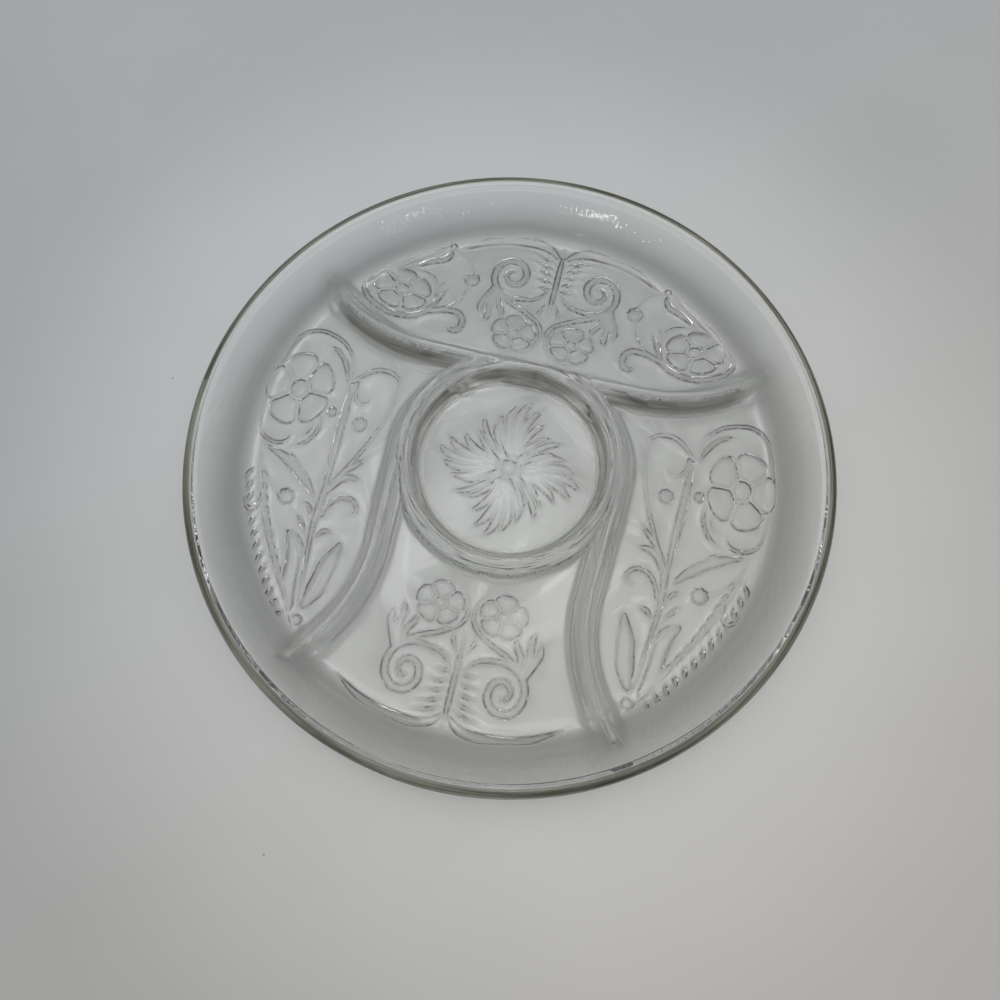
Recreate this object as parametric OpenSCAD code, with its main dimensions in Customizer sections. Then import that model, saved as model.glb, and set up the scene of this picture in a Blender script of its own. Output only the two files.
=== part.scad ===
// Round pressed-glass relish tray: a coved wall with a thick rim, a centre well with
// a raised ring, and three raised dividers that run out into the wall as horns.
// The pattern of roses, scrolls and leaves is sunk into the underside of the floor,
// inside the foot ring, and is seen through the glass. The real tray is one pressing, so
// the solids meet face to face.
// Origin: the middle of the foot, on the table. +Y points at the top compartment.

/* [Tray] */
// Diameter over the rim
tray_d = 336; // [310:1:370]
// Height of the rim above the table
tray_h = 34; // [31:1:42]

/* [Wall] */
// Lean of the wall from upright
wall_lean = 32; // [26:1:36]
// Thickness of the wall, square to its face
wall_t = 8; // [6:0.5:8.5]
// Radius of the cove between the floor and the wall
wall_cove_r = 10; // [6:1:14]

/* [Rim] */
// Width of the rim's band, seen from above
rim_w = 7; // [6:0.5:8]
// Radius of the rim's round outer edge
rim_bead_r = 4.5; // [4:0.25:5]
// Radius of the rim's inner edge
rim_edge_r = 0.8; // [0.4:0.1:1.2]
// Height of the rim's band
rim_band_h = 10; // [9.5:0.5:13]

/* [Floor and foot] */
// Thickness of the floor
floor_t = 6; // [4:0.5:7]
// Height of the foot ring, which lifts the floor off the table
foot_h = 3; // [2.4:0.2:4]
// Width of the foot ring
foot_w = 2.4; // [2.2:0.1:4]
// Step between the foot ring and the heel of the wall
foot_step = 0.4; // [0.3:0.1:1.5]
// Radius of the foot ring's lower edges
foot_edge_r = 0.9; // [0.5:0.1:1.1]

/* [Well] */
// Diameter of the well's flat floor
well_d = 95; // [86:1:100]
// Height of the well's ring above the floor
ring_h = 13.5; // [11:0.5:15]
// Radius of the ring's crest
ring_crest_r = 2.4; // [1.8:0.1:3]
// Slope of the ring's inner flank
ring_flank = 75; // [70:1:80]
// Radius of the cove inside the ring
ring_cove_r = 2; // [1:0.5:3]
// Radius of the cove outside the ring
ring_apron_r = 5; // [4:0.5:7]

/* [Top divider] */
// Height of the top divider above the floor
top_h = 14; // [11:0.5:16]
// Radius of its crest
top_crest_r = 2.6; // [2:0.1:3]
// Radius of the coves at its foot
top_cove_r = 6; // [4:0.5:7]
// Straight run of the top divider, each way from the middle
top_run = 58; // [50:1:64]
// Radius of the top divider's horns
top_horn_r = 92; // [84:1:100]

/* [Side dividers] */
// Height of the side dividers above the floor
side_h = 13.8; // [11:0.2:16]
// Radius of their crests
side_crest_r = 2.5; // [2:0.1:3]
// Radius of the coves at their feet
side_cove_r = 5.5; // [4:0.5:7]
// Distance from the ring's crest to a side divider's crest
side_gap = 5.5; // [5:0.5:7]
// Lean of a side divider towards the bottom compartment
side_lean = 3; // [1:0.5:5]
// Straight run of a side divider
side_run = 55; // [48:1:60]
// Radius of the side dividers' horns
side_horn_r = 88; // [80:1:96]
// Slope of the flanks of all the dividers, and of the outside of the ring
divider_flank = 70; // [66:1:76]

/* [Pattern] */
// Depth of the pattern in the underside of the floor
relief_h = 1.8; // [1:0.1:2.4]
// Leaves in the whirl under the well
whirl_leaves = 8; // [6:1:10]
// Barbs on each side of a frond
frond_barbs = 9; // [6:1:11]

/* [Hidden] */

$fn = 180;
glass = [0.80, 0.83, 0.80, 0.55];
rim_glass = [0.45, 0.47, 0.41, 0.8];
pattern_glass = [0.68, 0.72, 0.68, 0.8];

// Steps in a drawn arc and between two points of a stroke, and sides of a petal's outline
arc_steps = 6;
stroke_steps = 2;
petal_sides = 8;

// Heights of the floor's upper face, of its edge under the cove, and of the joint under
// the rim's band
floor_top = foot_h + floor_t;
floor_edge_z = foot_h + floor_t / 2;
rim_joint_z = tray_h - rim_band_h;

// Radii of the wall's two faces at a height
rim_r = tray_d / 2;
function wall_in_r(z) = rim_r - rim_w - (tray_h - z) * tan(wall_lean);
function wall_out_r(z) = wall_in_r(z) + wall_t / cos(wall_lean);

// The flat floor ends where the cove starts, and the foot ring stands under the heel
cove_turn = 90 - wall_lean;
floor_r = wall_in_r(floor_top) - wall_cove_r * tan(cove_turn / 2);
heel_r = wall_out_r(foot_h);
foot_out_r = heel_r - foot_step;
foot_in_r = foot_out_r - foot_w;

// The pattern is drawn to the foot ring: its points are shares of this radius
pattern_share = 0.675;
pattern_r = foot_in_r * pattern_share;

// How far the pattern's cutters start below the floor
cut = 0.4;

// Points of an arc about c, from angle a to angle b
function arc(c, r, a, b, steps = arc_steps) =
    [for (i = [0:steps]) c + r * [cos(a + (b - a) * i / steps), sin(a + (b - a) * i / steps)]];

// Half of a ridge's section: how far out its foot lies, and its points from the crest down
function ridge_foot(h, crest_r, flank, cove_r) =
    (crest_r + cove_r) * sin(flank)
    + (h - (crest_r + cove_r) * (1 - cos(flank))) / tan(flank);
function ridge_side(h, crest_r, flank, cove_r) =
    let (foot = ridge_foot(h, crest_r, flank, cove_r))
    concat(
        arc([0, h - crest_r], crest_r, 90, 90 - flank),
        arc([foot, cove_r], cove_r, 270 - flank, 270)
    );
function flip(points) = [for (i = [len(points) - 1:-1:0]) [-points[i][0], points[i][1]]];
function lift(points, x, z) = [for (p = points) [x + p[0], z + p[1]]];

function divider_section(h, crest_r, cove_r) =
    let (half = ridge_side(h, crest_r, divider_flank, cove_r))
    lift(concat(flip(half), half), 0, floor_top);
top_section = divider_section(top_h, top_crest_r, top_cove_r);
top_foot = ridge_foot(top_h, top_crest_r, divider_flank, top_cove_r);
side_section = divider_section(side_h, side_crest_r, side_cove_r);

well_r = well_d / 2;
ring_r = well_r + ridge_foot(ring_h, ring_crest_r, ring_flank, ring_cove_r);
ring_foot_r = ring_r + ridge_foot(ring_h, ring_crest_r, divider_flank, ring_apron_r);
ring_in = ridge_side(ring_h, ring_crest_r, ring_flank, ring_cove_r);
ring_out = ridge_side(ring_h, ring_crest_r, divider_flank, ring_apron_r);
ring_section = lift(concat(flip(ring_in), ring_out), ring_r, floor_top);

// The top divider runs tangent to the ring's crest, the side dividers just outside it.
// The ring ends a little inside the valley that parts it from them
top_y = ring_r;
side_r = ring_r + side_gap;
valley_share = 0.4;
valley_r = ring_r + side_gap * valley_share;

// Angles: where a side divider starts, how far a horn sweeps, and where the ring's flank parts
side_start = 65;
horn_sweep = 80;
ring_part = 35;

// Angles where the floors of the top, side and bottom compartments part, under the dividers
top_part = 31;
bottom_part = -58;

// Points of a smooth curve through the given ones
function curve_point(p, k, u) =
    let (a = p[max(k - 1, 0)], b = p[k], c = p[k + 1], d = p[min(k + 2, len(p) - 1)])
    (2 * b + (c - a) * u + (2 * a - 5 * b + 4 * c - d) * u * u
        + (3 * b - a - 3 * c + d) * u * u * u) / 2;
function curve(p) = concat(
    [for (k = [0:len(p) - 2], i = [0:stroke_steps - 1]) curve_point(p, k, i / stroke_steps)],
    [p[len(p) - 1]]
);

// A stroke's width at a share t of its length, from its start, middle and end widths
function swell(w, t) = w[0] * (1 - t) * (1 - 2 * t) + w[1] * 4 * t * (1 - t) + w[2] * t * (2 * t - 1);

/* The pattern's strokes: points, then widths at the start, middle and end, all as shares */
// Half of the centre motif: volute, leaf tails, rose frame, palmette, fan, edge leaf and stem
scroll_shares = [
    [[[0.02, 1.14], [0.08, 1.06], [0.17, 1.03], [0.27, 1.035], [0.345, 1.09], [0.365, 1.17],
      [0.335, 1.245], [0.265, 1.275], [0.20, 1.24], [0.185, 1.175], [0.22, 1.12], [0.275, 1.125],
      [0.295, 1.175], [0.265, 1.205], [0.24, 1.18]], [0.02, 0.05, 0.02]],
    [[[0.34, 1.09], [0.375, 1.0], [0.40, 0.93], [0.385, 0.865]], [0.04, 0.05, 0.01]],
    [[[0.33, 1.07], [0.35, 0.97], [0.345, 0.88], [0.355, 0.82]], [0.03, 0.05, 0.01]],
    [[[0.31, 1.06], [0.305, 0.98], [0.27, 0.92], [0.265, 0.875]], [0.03, 0.045, 0.01]],
    [[[0.30, 1.03], [0.22, 0.985], [0.11, 0.935], [0.03, 0.87], [0.02, 0.79], [0.06, 0.72],
      [0.14, 0.685], [0.23, 0.695], [0.29, 0.75], [0.295, 0.825]], [0.04, 0.024, 0.012]],
    [[[0.02, 1.04], [0.055, 0.97], [0.06, 0.91]], [0.015, 0.03, 0.01]],
    [[[0.02, 1.20], [0.07, 1.135], [0.13, 1.10]], [0.015, 0.035, 0.01]],
    [[[0.02, 1.235], [0.085, 1.185], [0.155, 1.175]], [0.015, 0.035, 0.01]],
    [[[0.02, 1.27], [0.09, 1.235], [0.165, 1.23]], [0.015, 0.035, 0.01]],
    [[[0.015, 1.30], [0.10, 1.285], [0.19, 1.29]], [0.015, 0.035, 0.01]],
    [[[0.015, 1.33], [0.11, 1.335], [0.22, 1.32]], [0.015, 0.035, 0.01]],
    [[[0.01, 1.34], [0.09, 1.405], [0.24, 1.425], [0.42, 1.385], [0.60, 1.28]], [0.02, 0.075, 0.015]]
];
scroll_stem_shares = [[[0, 0.90], [0, 1.1], [0, 1.28], [0, 1.44]], [0.012, 0.04, 0.012]];

// Right half of the top compartment's outer spray: rose frame, tulip, hook scroll, stems, leaves
rose_spray_shares = [
    [[[0.672, 0.96], [0.70, 1.035], [0.78, 1.075], [0.86, 1.07]], [0.02, 0.025, 0.01]],
    [[[0.665, 0.99], [0.665, 0.90], [0.70, 0.82], [0.78, 0.775], [0.88, 0.765], [1.0, 0.80],
      [1.075, 0.855], [1.10, 0.92], [1.06, 0.985]], [0.02, 0.045, 0.025]],
    [[[1.075, 0.965], [0.98, 1.06], [0.87, 1.145], [0.76, 1.225], [0.68, 1.28]], [0.025, 0.045, 0.02]],
    [[[0.655, 1.26], [0.67, 1.20], [0.76, 1.155], [0.84, 1.10]], [0.03, 0.05, 0.02]],
    [[[0.76, 0.80], [0.66, 0.83], [0.58, 0.855], [0.505, 0.845], [0.475, 0.785], [0.50, 0.735],
      [0.55, 0.74]], [0.02, 0.045, 0.03]],
    [[[0.68, 0.83], [0.58, 0.88], [0.515, 0.96], [0.49, 1.05]], [0.03, 0.025, 0.02]],
    [[[0.49, 1.13], [0.53, 1.20], [0.63, 1.27]], [0.02, 0.02, 0.015]],
    [[[0.67, 0.84], [0.645, 0.93], [0.59, 1.01]], [0.02, 0.035, 0.01]],
    [[[0.68, 0.92], [0.66, 0.99], [0.62, 1.07]], [0.015, 0.025, 0.01]]
];

// Right compartment's heart, scrolls, leaves, stem and tulip
heart_shares = [
    [[[0.98, 0.29], [1.0, 0.39], [1.07, 0.49], [1.17, 0.545], [1.29, 0.55], [1.37, 0.49],
      [1.41, 0.38], [1.435, 0.22], [1.44, 0.06], [1.42, -0.06]], [0.02, 0.03, 0.015]],
    [[[1.0, 0.27], [1.04, 0.37], [1.11, 0.45], [1.21, 0.485]], [0.02, 0.04, 0.01]],
    [[[0.98, 0.29], [0.93, 0.34], [0.87, 0.385], [0.80, 0.395], [0.74, 0.37], [0.70, 0.325]],
     [0.02, 0.035, 0.02]],
    [[[0.955, 0.30], [0.945, 0.22], [0.91, 0.175], [0.86, 0.175], [0.845, 0.22]], [0.03, 0.025, 0.015]],
    [[[0.71, 0.33], [0.725, 0.17], [0.77, 0], [0.84, -0.17], [0.93, -0.35]], [0.02, 0.025, 0.03]],
    [[[0.975, 0.29], [0.97, 0.10], [0.96, -0.10], [0.945, -0.35]], [0.025, 0.055, 0.03]],
    [[[0.77, 0], [0.80, 0.03], [0.84, 0.05]], [0.015, 0.02, 0.015]],
    [[[1.12, 0.02], [1.125, -0.06], [1.19, -0.125]], [0.015, 0.025, 0.01]],
    [[[1.215, -0.09], [1.25, -0.145], [1.33, -0.155], [1.40, -0.11], [1.44, 0]], [0.015, 0.03, 0.015]],
    [[[1.09, 0.10], [1.085, -0.03], [1.13, -0.12], [1.22, -0.18]], [0.015, 0.03, 0.015]],
    [[[1.12, -0.25], [1.17, -0.22], [1.215, -0.19]], [0.015, 0.03, 0.01]],
    [[[0.98, -0.42], [1.07, -0.33], [1.2, -0.24], [1.36, -0.18]], [0.02, 0.07, 0.015]],
    [[[1.0, -0.13], [1.07, -0.10]], [0.01, 0.03, 0.01]],
    [[[1.0, -0.24], [1.08, -0.17]], [0.01, 0.04, 0.01]],
    [[[0.935, -0.33], [0.945, -0.50], [0.93, -0.70], [0.905, -0.88], [0.88, -1.02]],
     [0.05, 0.03, 0.02]],
    [[[0.925, -0.38], [0.85, -0.27], [0.74, -0.27]], [0.02, 0.05, 0.01]],
    [[[0.92, -0.30], [0.83, -0.20], [0.74, -0.12]], [0.02, 0.04, 0.01]],
    [[[0.925, -0.52], [0.89, -0.43], [0.82, -0.38], [0.755, -0.40], [0.745, -0.455], [0.79, -0.47]],
     [0.03, 0.03, 0.02]],
    [[[0.92, -0.64], [0.88, -0.585], [0.81, -0.575]], [0.015, 0.035, 0.01]],
    [[[0.955, -0.56], [1.0, -0.47], [1.06, -0.44]], [0.015, 0.035, 0.01]],
    [[[0.95, -0.64], [1.02, -0.555], [1.065, -0.51]], [0.015, 0.035, 0.01]],
    [[[0.94, -0.75], [0.99, -0.665], [1.085, -0.60]], [0.02, 0.035, 0.01]],
    [[[1.16, -0.44], [1.27, -0.37], [1.35, -0.22]], [0.02, 0.022, 0.015]],
    [[[0.765, -0.64], [0.815, -0.78], [0.83, -0.90], [0.86, -1.01]], [0.03, 0.085, 0.03]],
    [[[1.06, -0.64], [0.99, -0.76], [0.965, -0.90], [0.93, -1.01]], [0.02, 0.075, 0.03]]
];

// Right compartment's frond along the wall: its rib and the hook above it
frond_rib_shares = [[1.34, -0.31], [1.28, -0.46], [1.18, -0.66], [1.06, -0.85], [0.95, -1.03]];
frond_hook_shares = [[[1.28, -0.40], [1.27, -0.49], [1.30, -0.555], [1.345, -0.55], [1.37, -0.50]],
                     [0.02, 0.035, 0.02]];
frond_rib_width_shares = [0.015, 0.025, 0.02];
barb_width_shares = [0.015, 0.035, 0.01];
barb_in_shares = [-0.075, -0.075];
barb_out_shares = [0.045, -0.12];

// Round pieces: centre and radii
rose_centre_shares = [0.17, 0.80];
rose_radius_shares = [0.105, 0.105];
spray_rose_centre_shares = [0.875, 0.935];
spray_rose_radius_shares = [0.165, 0.125];
heart_rose_centre_shares = [1.27, 0.18];
heart_rose_radius_shares = [0.165, 0.215];
spray_bead_shares = [[0.49, 1.09, 0.055], [0.655, 1.285, 0.025]];
heart_bead_shares = [[0.865, 0.045, 0.05], [1.04, 0.085, 0.035], [1.14, -0.445, 0.055], [0.875, -1.07, 0.035]];

// A rose's petals (along and across) and boss as shares of its radius, and a dome's flat
// end as a share of its base
petals = 5;
petal_place_share = 0.6;
petal_shares = [0.4, 0.33];
boss_share = 0.3;
dome_end_share = 0.62;
petal_depth_share = 0.75;

// The whirl under the well: a leaf's points and its two side lobes as shares of the well's radius
whirl_shares = [[0.10, 0], [0.40, 0.03], [0.68, -0.02], [0.90, -0.12]];
whirl_lobe_shares = [
    [[0.42, 0.03], [0.60, 0.10], [0.78, 0.12]],
    [[0.40, 0.01], [0.58, -0.10], [0.72, -0.22]]
];
whirl_width_shares = [0.04, 0.13, 0.02];
whirl_boss_share = 0.12;

module revolve(section, start = 0, turn = 360) {
    rotate_extrude(start = start, angle = turn) polygon(section);
}

// The space inside the tray, which trims the dividers where they run into the wall
module bowl_space() {
    revolve(concat(
        [[0, 0], [floor_r, 0]],
        arc([floor_r, floor_top + wall_cove_r], wall_cove_r, 270, 270 + cove_turn),
        [[wall_in_r(tray_h), tray_h], [0, tray_h]]
    ));
}

module ring_ridge() {
    revolve(ring_section);
}

module top_ridge_half() {
    translate([0, top_y, 0])
        rotate([90, 0, 90])
            linear_extrude(top_run) polygon(top_section);
    translate([top_run, top_y + top_horn_r, 0])
        revolve(lift(top_section, top_horn_r, 0), 270, horn_sweep);
}

// One side divider's ridge: round the ring, straight down, then out to the wall
module side_ridge() {
    rotate([0, 0, -side_lean]) {
        revolve(lift(side_section, side_r, 0), 0, side_start);
        translate([side_r, 0, 0])
            rotate([90, 0, 0])
                linear_extrude(side_run) polygon(side_section);
        translate([side_r + side_horn_r, -side_run, 0])
            revolve(lift(side_section, side_horn_r, 0), 180, horn_sweep);
    }
}

module right_ridges() {
    top_ridge_half();
    side_ridge();
}

module raised_ridges() {
    ring_ridge();
    right_ridges();
    mirror([1, 0, 0]) right_ridges();
}

// The ring takes what lies inside the valley, and its own outer flank where it faces the
// bottom compartment
module ring_zone() {
    cylinder(r = valley_r, h = tray_h);
    difference() {
        cylinder(r = ring_foot_r, h = tray_h);
        translate([-rim_r, -ring_foot_r * sin(ring_part), 0])
            cube([tray_d, tray_d, tray_h]);
    }
}

// The top divider takes what lies above its lower foot
module top_zone() {
    translate([-rim_r, top_y - top_foot, 0])
        cube([tray_d, tray_d, tray_h]);
}

// One compartment's floor, from the well out to the foot ring, with its edge under the cove
module floor_sector(start, turn) {
    revolve([
        [well_r, foot_h], [foot_in_r, foot_h], [foot_in_r, floor_edge_z],
        [floor_r, floor_edge_z], [floor_r, floor_top], [well_r, floor_top]
    ], start, turn);
}

module foot_ring() {
    color(glass)
        revolve(concat(
            [[foot_in_r, foot_h]],
            arc([foot_in_r + foot_edge_r, foot_edge_r], foot_edge_r, 180, 270),
            arc([foot_out_r - foot_edge_r, foot_edge_r], foot_edge_r, 270, 360),
            [[foot_out_r, foot_h]]
        ));
}

module coved_wall() {
    color(glass)
        revolve(concat(
            [[foot_in_r, foot_h], [foot_in_r, floor_edge_z], [floor_r, floor_edge_z]],
            arc([floor_r, floor_top + wall_cove_r], wall_cove_r, 270, 270 + cove_turn),
            [[wall_in_r(rim_joint_z), rim_joint_z], [wall_out_r(rim_joint_z), rim_joint_z]],
            [[heel_r, foot_h]]
        ));
}

// A round bead on the end of the wall: its inner edge is nearly sharp, its outer one full
module rim_band() {
    edge_z = tray_h - rim_edge_r;
    edge = [wall_in_r(edge_z) + rim_edge_r / cos(wall_lean), edge_z];
    bead = [rim_r - rim_bead_r, tray_h - rim_bead_r];
    bead_reach = wall_t - (bead[0] - wall_in_r(bead[1])) * cos(wall_lean);
    bead_end = -wall_lean - acos(min(1, bead_reach / rim_bead_r));
    color(rim_glass)
        revolve(concat(
            [[wall_in_r(rim_joint_z), rim_joint_z]],
            arc(edge, rim_edge_r, 180 - wall_lean, 90),
            arc(bead, rim_bead_r, 90, bead_end, 2 * arc_steps),
            [[wall_out_r(rim_joint_z), rim_joint_z]]
        ));
}

module well_ring() {
    color(glass)
        intersection() {
            raised_ridges();
            ring_zone();
        }
}

module top_divider() {
    color(glass)
        difference() {
            intersection() {
                raised_ridges();
                bowl_space();
                top_zone();
            }
            ring_zone();
        }
}

module right_divider() {
    color(glass)
        difference() {
            intersection() {
                union() {
                    ring_ridge();
                    right_ridges();
                }
                bowl_space();
                translate([0, -rim_r, 0]) cube([rim_r, tray_d, tray_h]);
            }
            ring_zone();
            top_zone();
        }
}

module left_divider() {
    mirror([1, 0, 0]) right_divider();
}

// The cutter of one stroke of the pattern, which is deepest along its middle
module stroke(shares, width_shares, unit = pattern_r) {
    path = curve(shares) * unit;
    last = len(path) - 1;
    rings = [for (i = [0:last])
        let (
            along = path[min(i + 1, last)] - path[max(i - 1, 0)],
            left = [-along[1], along[0]] / norm(along),
            half = swell(width_shares, i / last) * unit / 2,
            deep = min(relief_h, 2 * half),
            wide = half * (deep + cut) / deep,
            a = path[i] + left * wide,
            b = path[i] - left * wide
        )
        [[a[0], a[1], foot_h - cut], [b[0], b[1], foot_h - cut],
         [path[i][0], path[i][1], foot_h + deep]]];
    polyhedron(
        points = [for (r = rings, p = r) p],
        faces = concat(
            [[2, 1, 0], [3 * last, 3 * last + 1, 3 * last + 2]],
            [for (i = [0:last - 1], j = [0:2])
                let (a = 3 * i + j, b = 3 * i + (j + 1) % 3) each [[a, b, b + 3], [a, b + 3, a + 3]]]
        )
    );
}

module strokes(table) {
    for (s = table) stroke(s[0], s[1]);
}

// The cutter of a low dome: where it is, its radii along and across, its turn and its depth
module dome(place, along, across, turn = 0, depth = relief_h) {
    spread = 1 + (1 - dome_end_share) * cut / depth;
    translate([place[0], place[1], foot_h - cut])
        rotate([0, 0, turn])
            scale([along, across, 1])
                cylinder(r1 = spread, r2 = dome_end_share, h = depth + cut, $fn = petal_sides);
}

module bead(spot_shares) {
    spot = spot_shares * pattern_r;
    dome([spot[0], spot[1]], spot[2], spot[2]);
}

module rose(centre_shares, radius_shares, turn) {
    centre = centre_shares * pattern_r;
    reach = radius_shares * pattern_r;
    for (i = [0:petals - 1]) {
        a = turn + 360 * i / petals;
        out = [reach[0] * cos(a), reach[1] * sin(a)];
        side = [reach[0] * sin(a), reach[1] * cos(a)];
        dome(
            centre + petal_place_share * out, petal_shares[0] * norm(out),
            petal_shares[1] * norm(side), atan2(out[1], out[0]), petal_depth_share * relief_h
        );
    }
    dome(centre, boss_share * reach[0], boss_share * reach[1]);
}

module scroll_half() {
    strokes(scroll_shares);
    rose(rose_centre_shares, rose_radius_shares, 90);
}

module scrolls() {
    scroll_half();
    mirror([1, 0, 0]) scroll_half();
    stroke(scroll_stem_shares[0], scroll_stem_shares[1]);
}

module rose_spray() {
    strokes(rose_spray_shares);
    rose(spray_rose_centre_shares, spray_rose_radius_shares, 100);
    for (b = spray_bead_shares) bead(b);
}

module heart() {
    strokes(heart_shares);
    rose(heart_rose_centre_shares, heart_rose_radius_shares, 3);
    for (b = heart_bead_shares) bead(b);
}

// The frond's barbs stand along its rib, inwards and outwards, and shrink to its tip
module frond() {
    legs = len(frond_rib_shares) - 1;
    stroke(frond_rib_shares, frond_rib_width_shares);
    stroke(frond_hook_shares[0], frond_hook_shares[1]);
    for (i = [0:frond_barbs - 1]) {
        t = legs * (i + 1) / (frond_barbs + 1);
        root = curve_point(frond_rib_shares, floor(t), t - floor(t));
        size = 1 - t / legs / 3;
        stroke([root, root + size * barb_in_shares], barb_width_shares);
        stroke([root, root + size * barb_out_shares], barb_width_shares);
    }
}

module whirl() {
    for (i = [0:whirl_leaves - 1])
        rotate([0, 0, 360 * i / whirl_leaves]) {
            stroke(whirl_shares, whirl_width_shares, well_r);
            for (lobe = whirl_lobe_shares) stroke(lobe, whirl_width_shares, well_r);
        }
    dome([0, 0], whirl_boss_share * well_r, whirl_boss_share * well_r);
}

module top_floor() {
    color(pattern_glass)
        difference() {
            floor_sector(top_part, 180 - 2 * top_part);
            scrolls();
            rose_spray();
            mirror([1, 0, 0]) rose_spray();
        }
}

module bottom_floor() {
    color(pattern_glass)
        difference() {
            floor_sector(-180 - bottom_part, 180 + 2 * bottom_part);
            mirror([0, 1, 0]) scrolls();
        }
}

module right_floor() {
    color(pattern_glass)
        difference() {
            floor_sector(bottom_part, top_part - bottom_part);
            heart();
            frond();
        }
}

module left_floor() {
    mirror([1, 0, 0]) right_floor();
}

module well_floor() {
    color(pattern_glass)
        difference() {
            translate([0, 0, foot_h]) cylinder(r = well_r, h = floor_t);
            whirl();
        }
}

top_floor();
bottom_floor();
left_floor();
right_floor();
well_floor();
foot_ring();
coved_wall();
rim_band();
well_ring();
top_divider();
left_divider();
right_divider();
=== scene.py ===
# %% [markdown]
# A divided relish tray of clear pressed glass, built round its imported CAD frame.
# The real tray is one pressing: a mould gives the underside its pattern and a plunger
# gives the top its wall and dividers. This lesson works the same way. It makes the glass
# and a plain blank, presses both faces, and then thins the finished mesh.

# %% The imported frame
import math

import bpy
import numpy as np
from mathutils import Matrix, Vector
from mathutils.geometry import delaunay_2d_cdt
from mathutils.kdtree import KDTree


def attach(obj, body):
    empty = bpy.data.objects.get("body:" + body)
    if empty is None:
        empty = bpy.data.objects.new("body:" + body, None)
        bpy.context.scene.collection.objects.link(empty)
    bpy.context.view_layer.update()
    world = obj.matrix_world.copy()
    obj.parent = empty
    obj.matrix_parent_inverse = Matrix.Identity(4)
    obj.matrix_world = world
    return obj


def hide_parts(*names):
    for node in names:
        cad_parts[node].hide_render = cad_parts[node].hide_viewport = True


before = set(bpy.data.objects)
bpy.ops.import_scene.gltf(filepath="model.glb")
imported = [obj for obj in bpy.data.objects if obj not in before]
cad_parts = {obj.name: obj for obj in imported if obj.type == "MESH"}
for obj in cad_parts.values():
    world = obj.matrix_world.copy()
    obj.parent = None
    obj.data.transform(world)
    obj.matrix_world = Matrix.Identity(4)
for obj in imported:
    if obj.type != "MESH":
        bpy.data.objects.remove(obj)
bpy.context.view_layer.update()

NODES = sorted(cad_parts)
MM = 0.001

# %% [markdown]
# The camera comes first, because everything is judged through it. A short lens held about
# 40 cm over the tray and tilted a little gives the wide-angle view of a table-top snapshot.

# %% Camera
LENS = 27.54
EYE = (28.5, -130.0, 403.3)
TURN = (16.08, 0.15, 13.97)


def placed(name, data):
    """A new object in the scene."""
    made = bpy.data.objects.new(name, data)
    bpy.context.scene.collection.objects.link(made)
    return made


camera = placed("camera", bpy.data.cameras.new("camera"))
camera.data.lens = LENS
camera.location = Vector(EYE) * MM
camera.rotation_euler = [math.radians(a) for a in TURN]
bpy.context.scene.camera = camera
print("camera", round(camera.location.z, 3), "m above the table")

# %% [markdown]
# Node trees are easier to read in short lines, so a few helpers come next. The first adds a
# node and sets or links its inputs, and the others do the same for the sums that repeat.

# %% Node helpers
def node(tree, kind, inputs=None, **settings):
    """Adds a node. An input is a plain value or the socket that feeds it."""
    made = tree.nodes.new(kind)
    for name, value in settings.items():
        setattr(made, name, value)
    for name, value in (inputs or {}).items():
        if isinstance(value, bpy.types.NodeSocket):
            tree.links.new(value, made.inputs[name])
        else:
            made.inputs[name].default_value = value
    return made


def first(tree, kind, inputs=None, **settings):
    """Adds a node and gives its first output."""
    return node(tree, kind, inputs, **settings).outputs[0]


def tree_of(*values):
    """The tree of the first socket among some values."""
    return next(value.id_data for value in values if isinstance(value, bpy.types.NodeSocket))


def maths(operation, *values):
    """One sum of plain values or sockets."""
    return first(tree_of(*values), "ShaderNodeMath", dict(enumerate(values)), operation=operation)


def product(*values):
    """Several values or sockets multiplied."""
    made = values[0]
    for value in values[1:]:
        made = maths("MULTIPLY", made, value)
    return made


def plus(*values):
    """Several values or sockets added."""
    made = values[0]
    for value in values[1:]:
        made = maths("ADD", made, value)
    return made


def minus(one, other):
    return maths("SUBTRACT", one, other)


def scaled(value, factor, offset):
    """A value times a factor, plus an offset."""
    return maths("MULTIPLY_ADD", value, factor, offset)


def reach(x, y):
    """How far a flat place lies from the middle."""
    return maths("SQRT", plus(product(x, x), product(y, y)))


def apart(vector):
    """The three parts of a vector."""
    return node(vector.id_data, "ShaderNodeSeparateXYZ", {0: vector}).outputs


def together(*parts):
    """A vector made from its parts."""
    return first(tree_of(*parts), "ShaderNodeCombineXYZ", dict(enumerate(parts)))


def slope(value, low, high, start=0.0, end=1.0, kind="SMOOTHSTEP"):
    """A step from start, where the value is low, to end, where it is high: smooth, or LINEAR."""
    span = {"Value": value, "From Min": low, "From Max": high, "To Min": start, "To Max": end}
    return first(value.id_data, "ShaderNodeMapRange", span, interpolation_type=kind)


def ramp(factor, stops):
    """A colour ramp: stops are (place, grey or colour)."""
    made = node(factor.id_data, "ShaderNodeValToRGB", {"Fac": factor})
    bar = made.color_ramp.elements
    while len(bar) < len(stops):
        bar.new(0.5)
    for element, (place, shade) in zip(bar, stops):
        element.position = place
        element.color = (*shade, 1) if isinstance(shade, tuple) else (shade, shade, shade, 1)
    return made.outputs["Color"]


def material(name, roughness):
    """A new material, with its tree and its shader."""
    made = bpy.data.materials.new(name)
    made.use_nodes = True
    shader = made.node_tree.nodes["Principled BSDF"]
    shader.inputs["Roughness"].default_value = roughness
    return made, made.node_tree, shader


# %% [markdown]
# Clear glass has almost no colour of its own. What shows its shape is what it bends into
# view, so the room matters more than any paint: bright overhead, darker towards the walls.
# The camera itself sees a plain pale backdrop where no table is.

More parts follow.
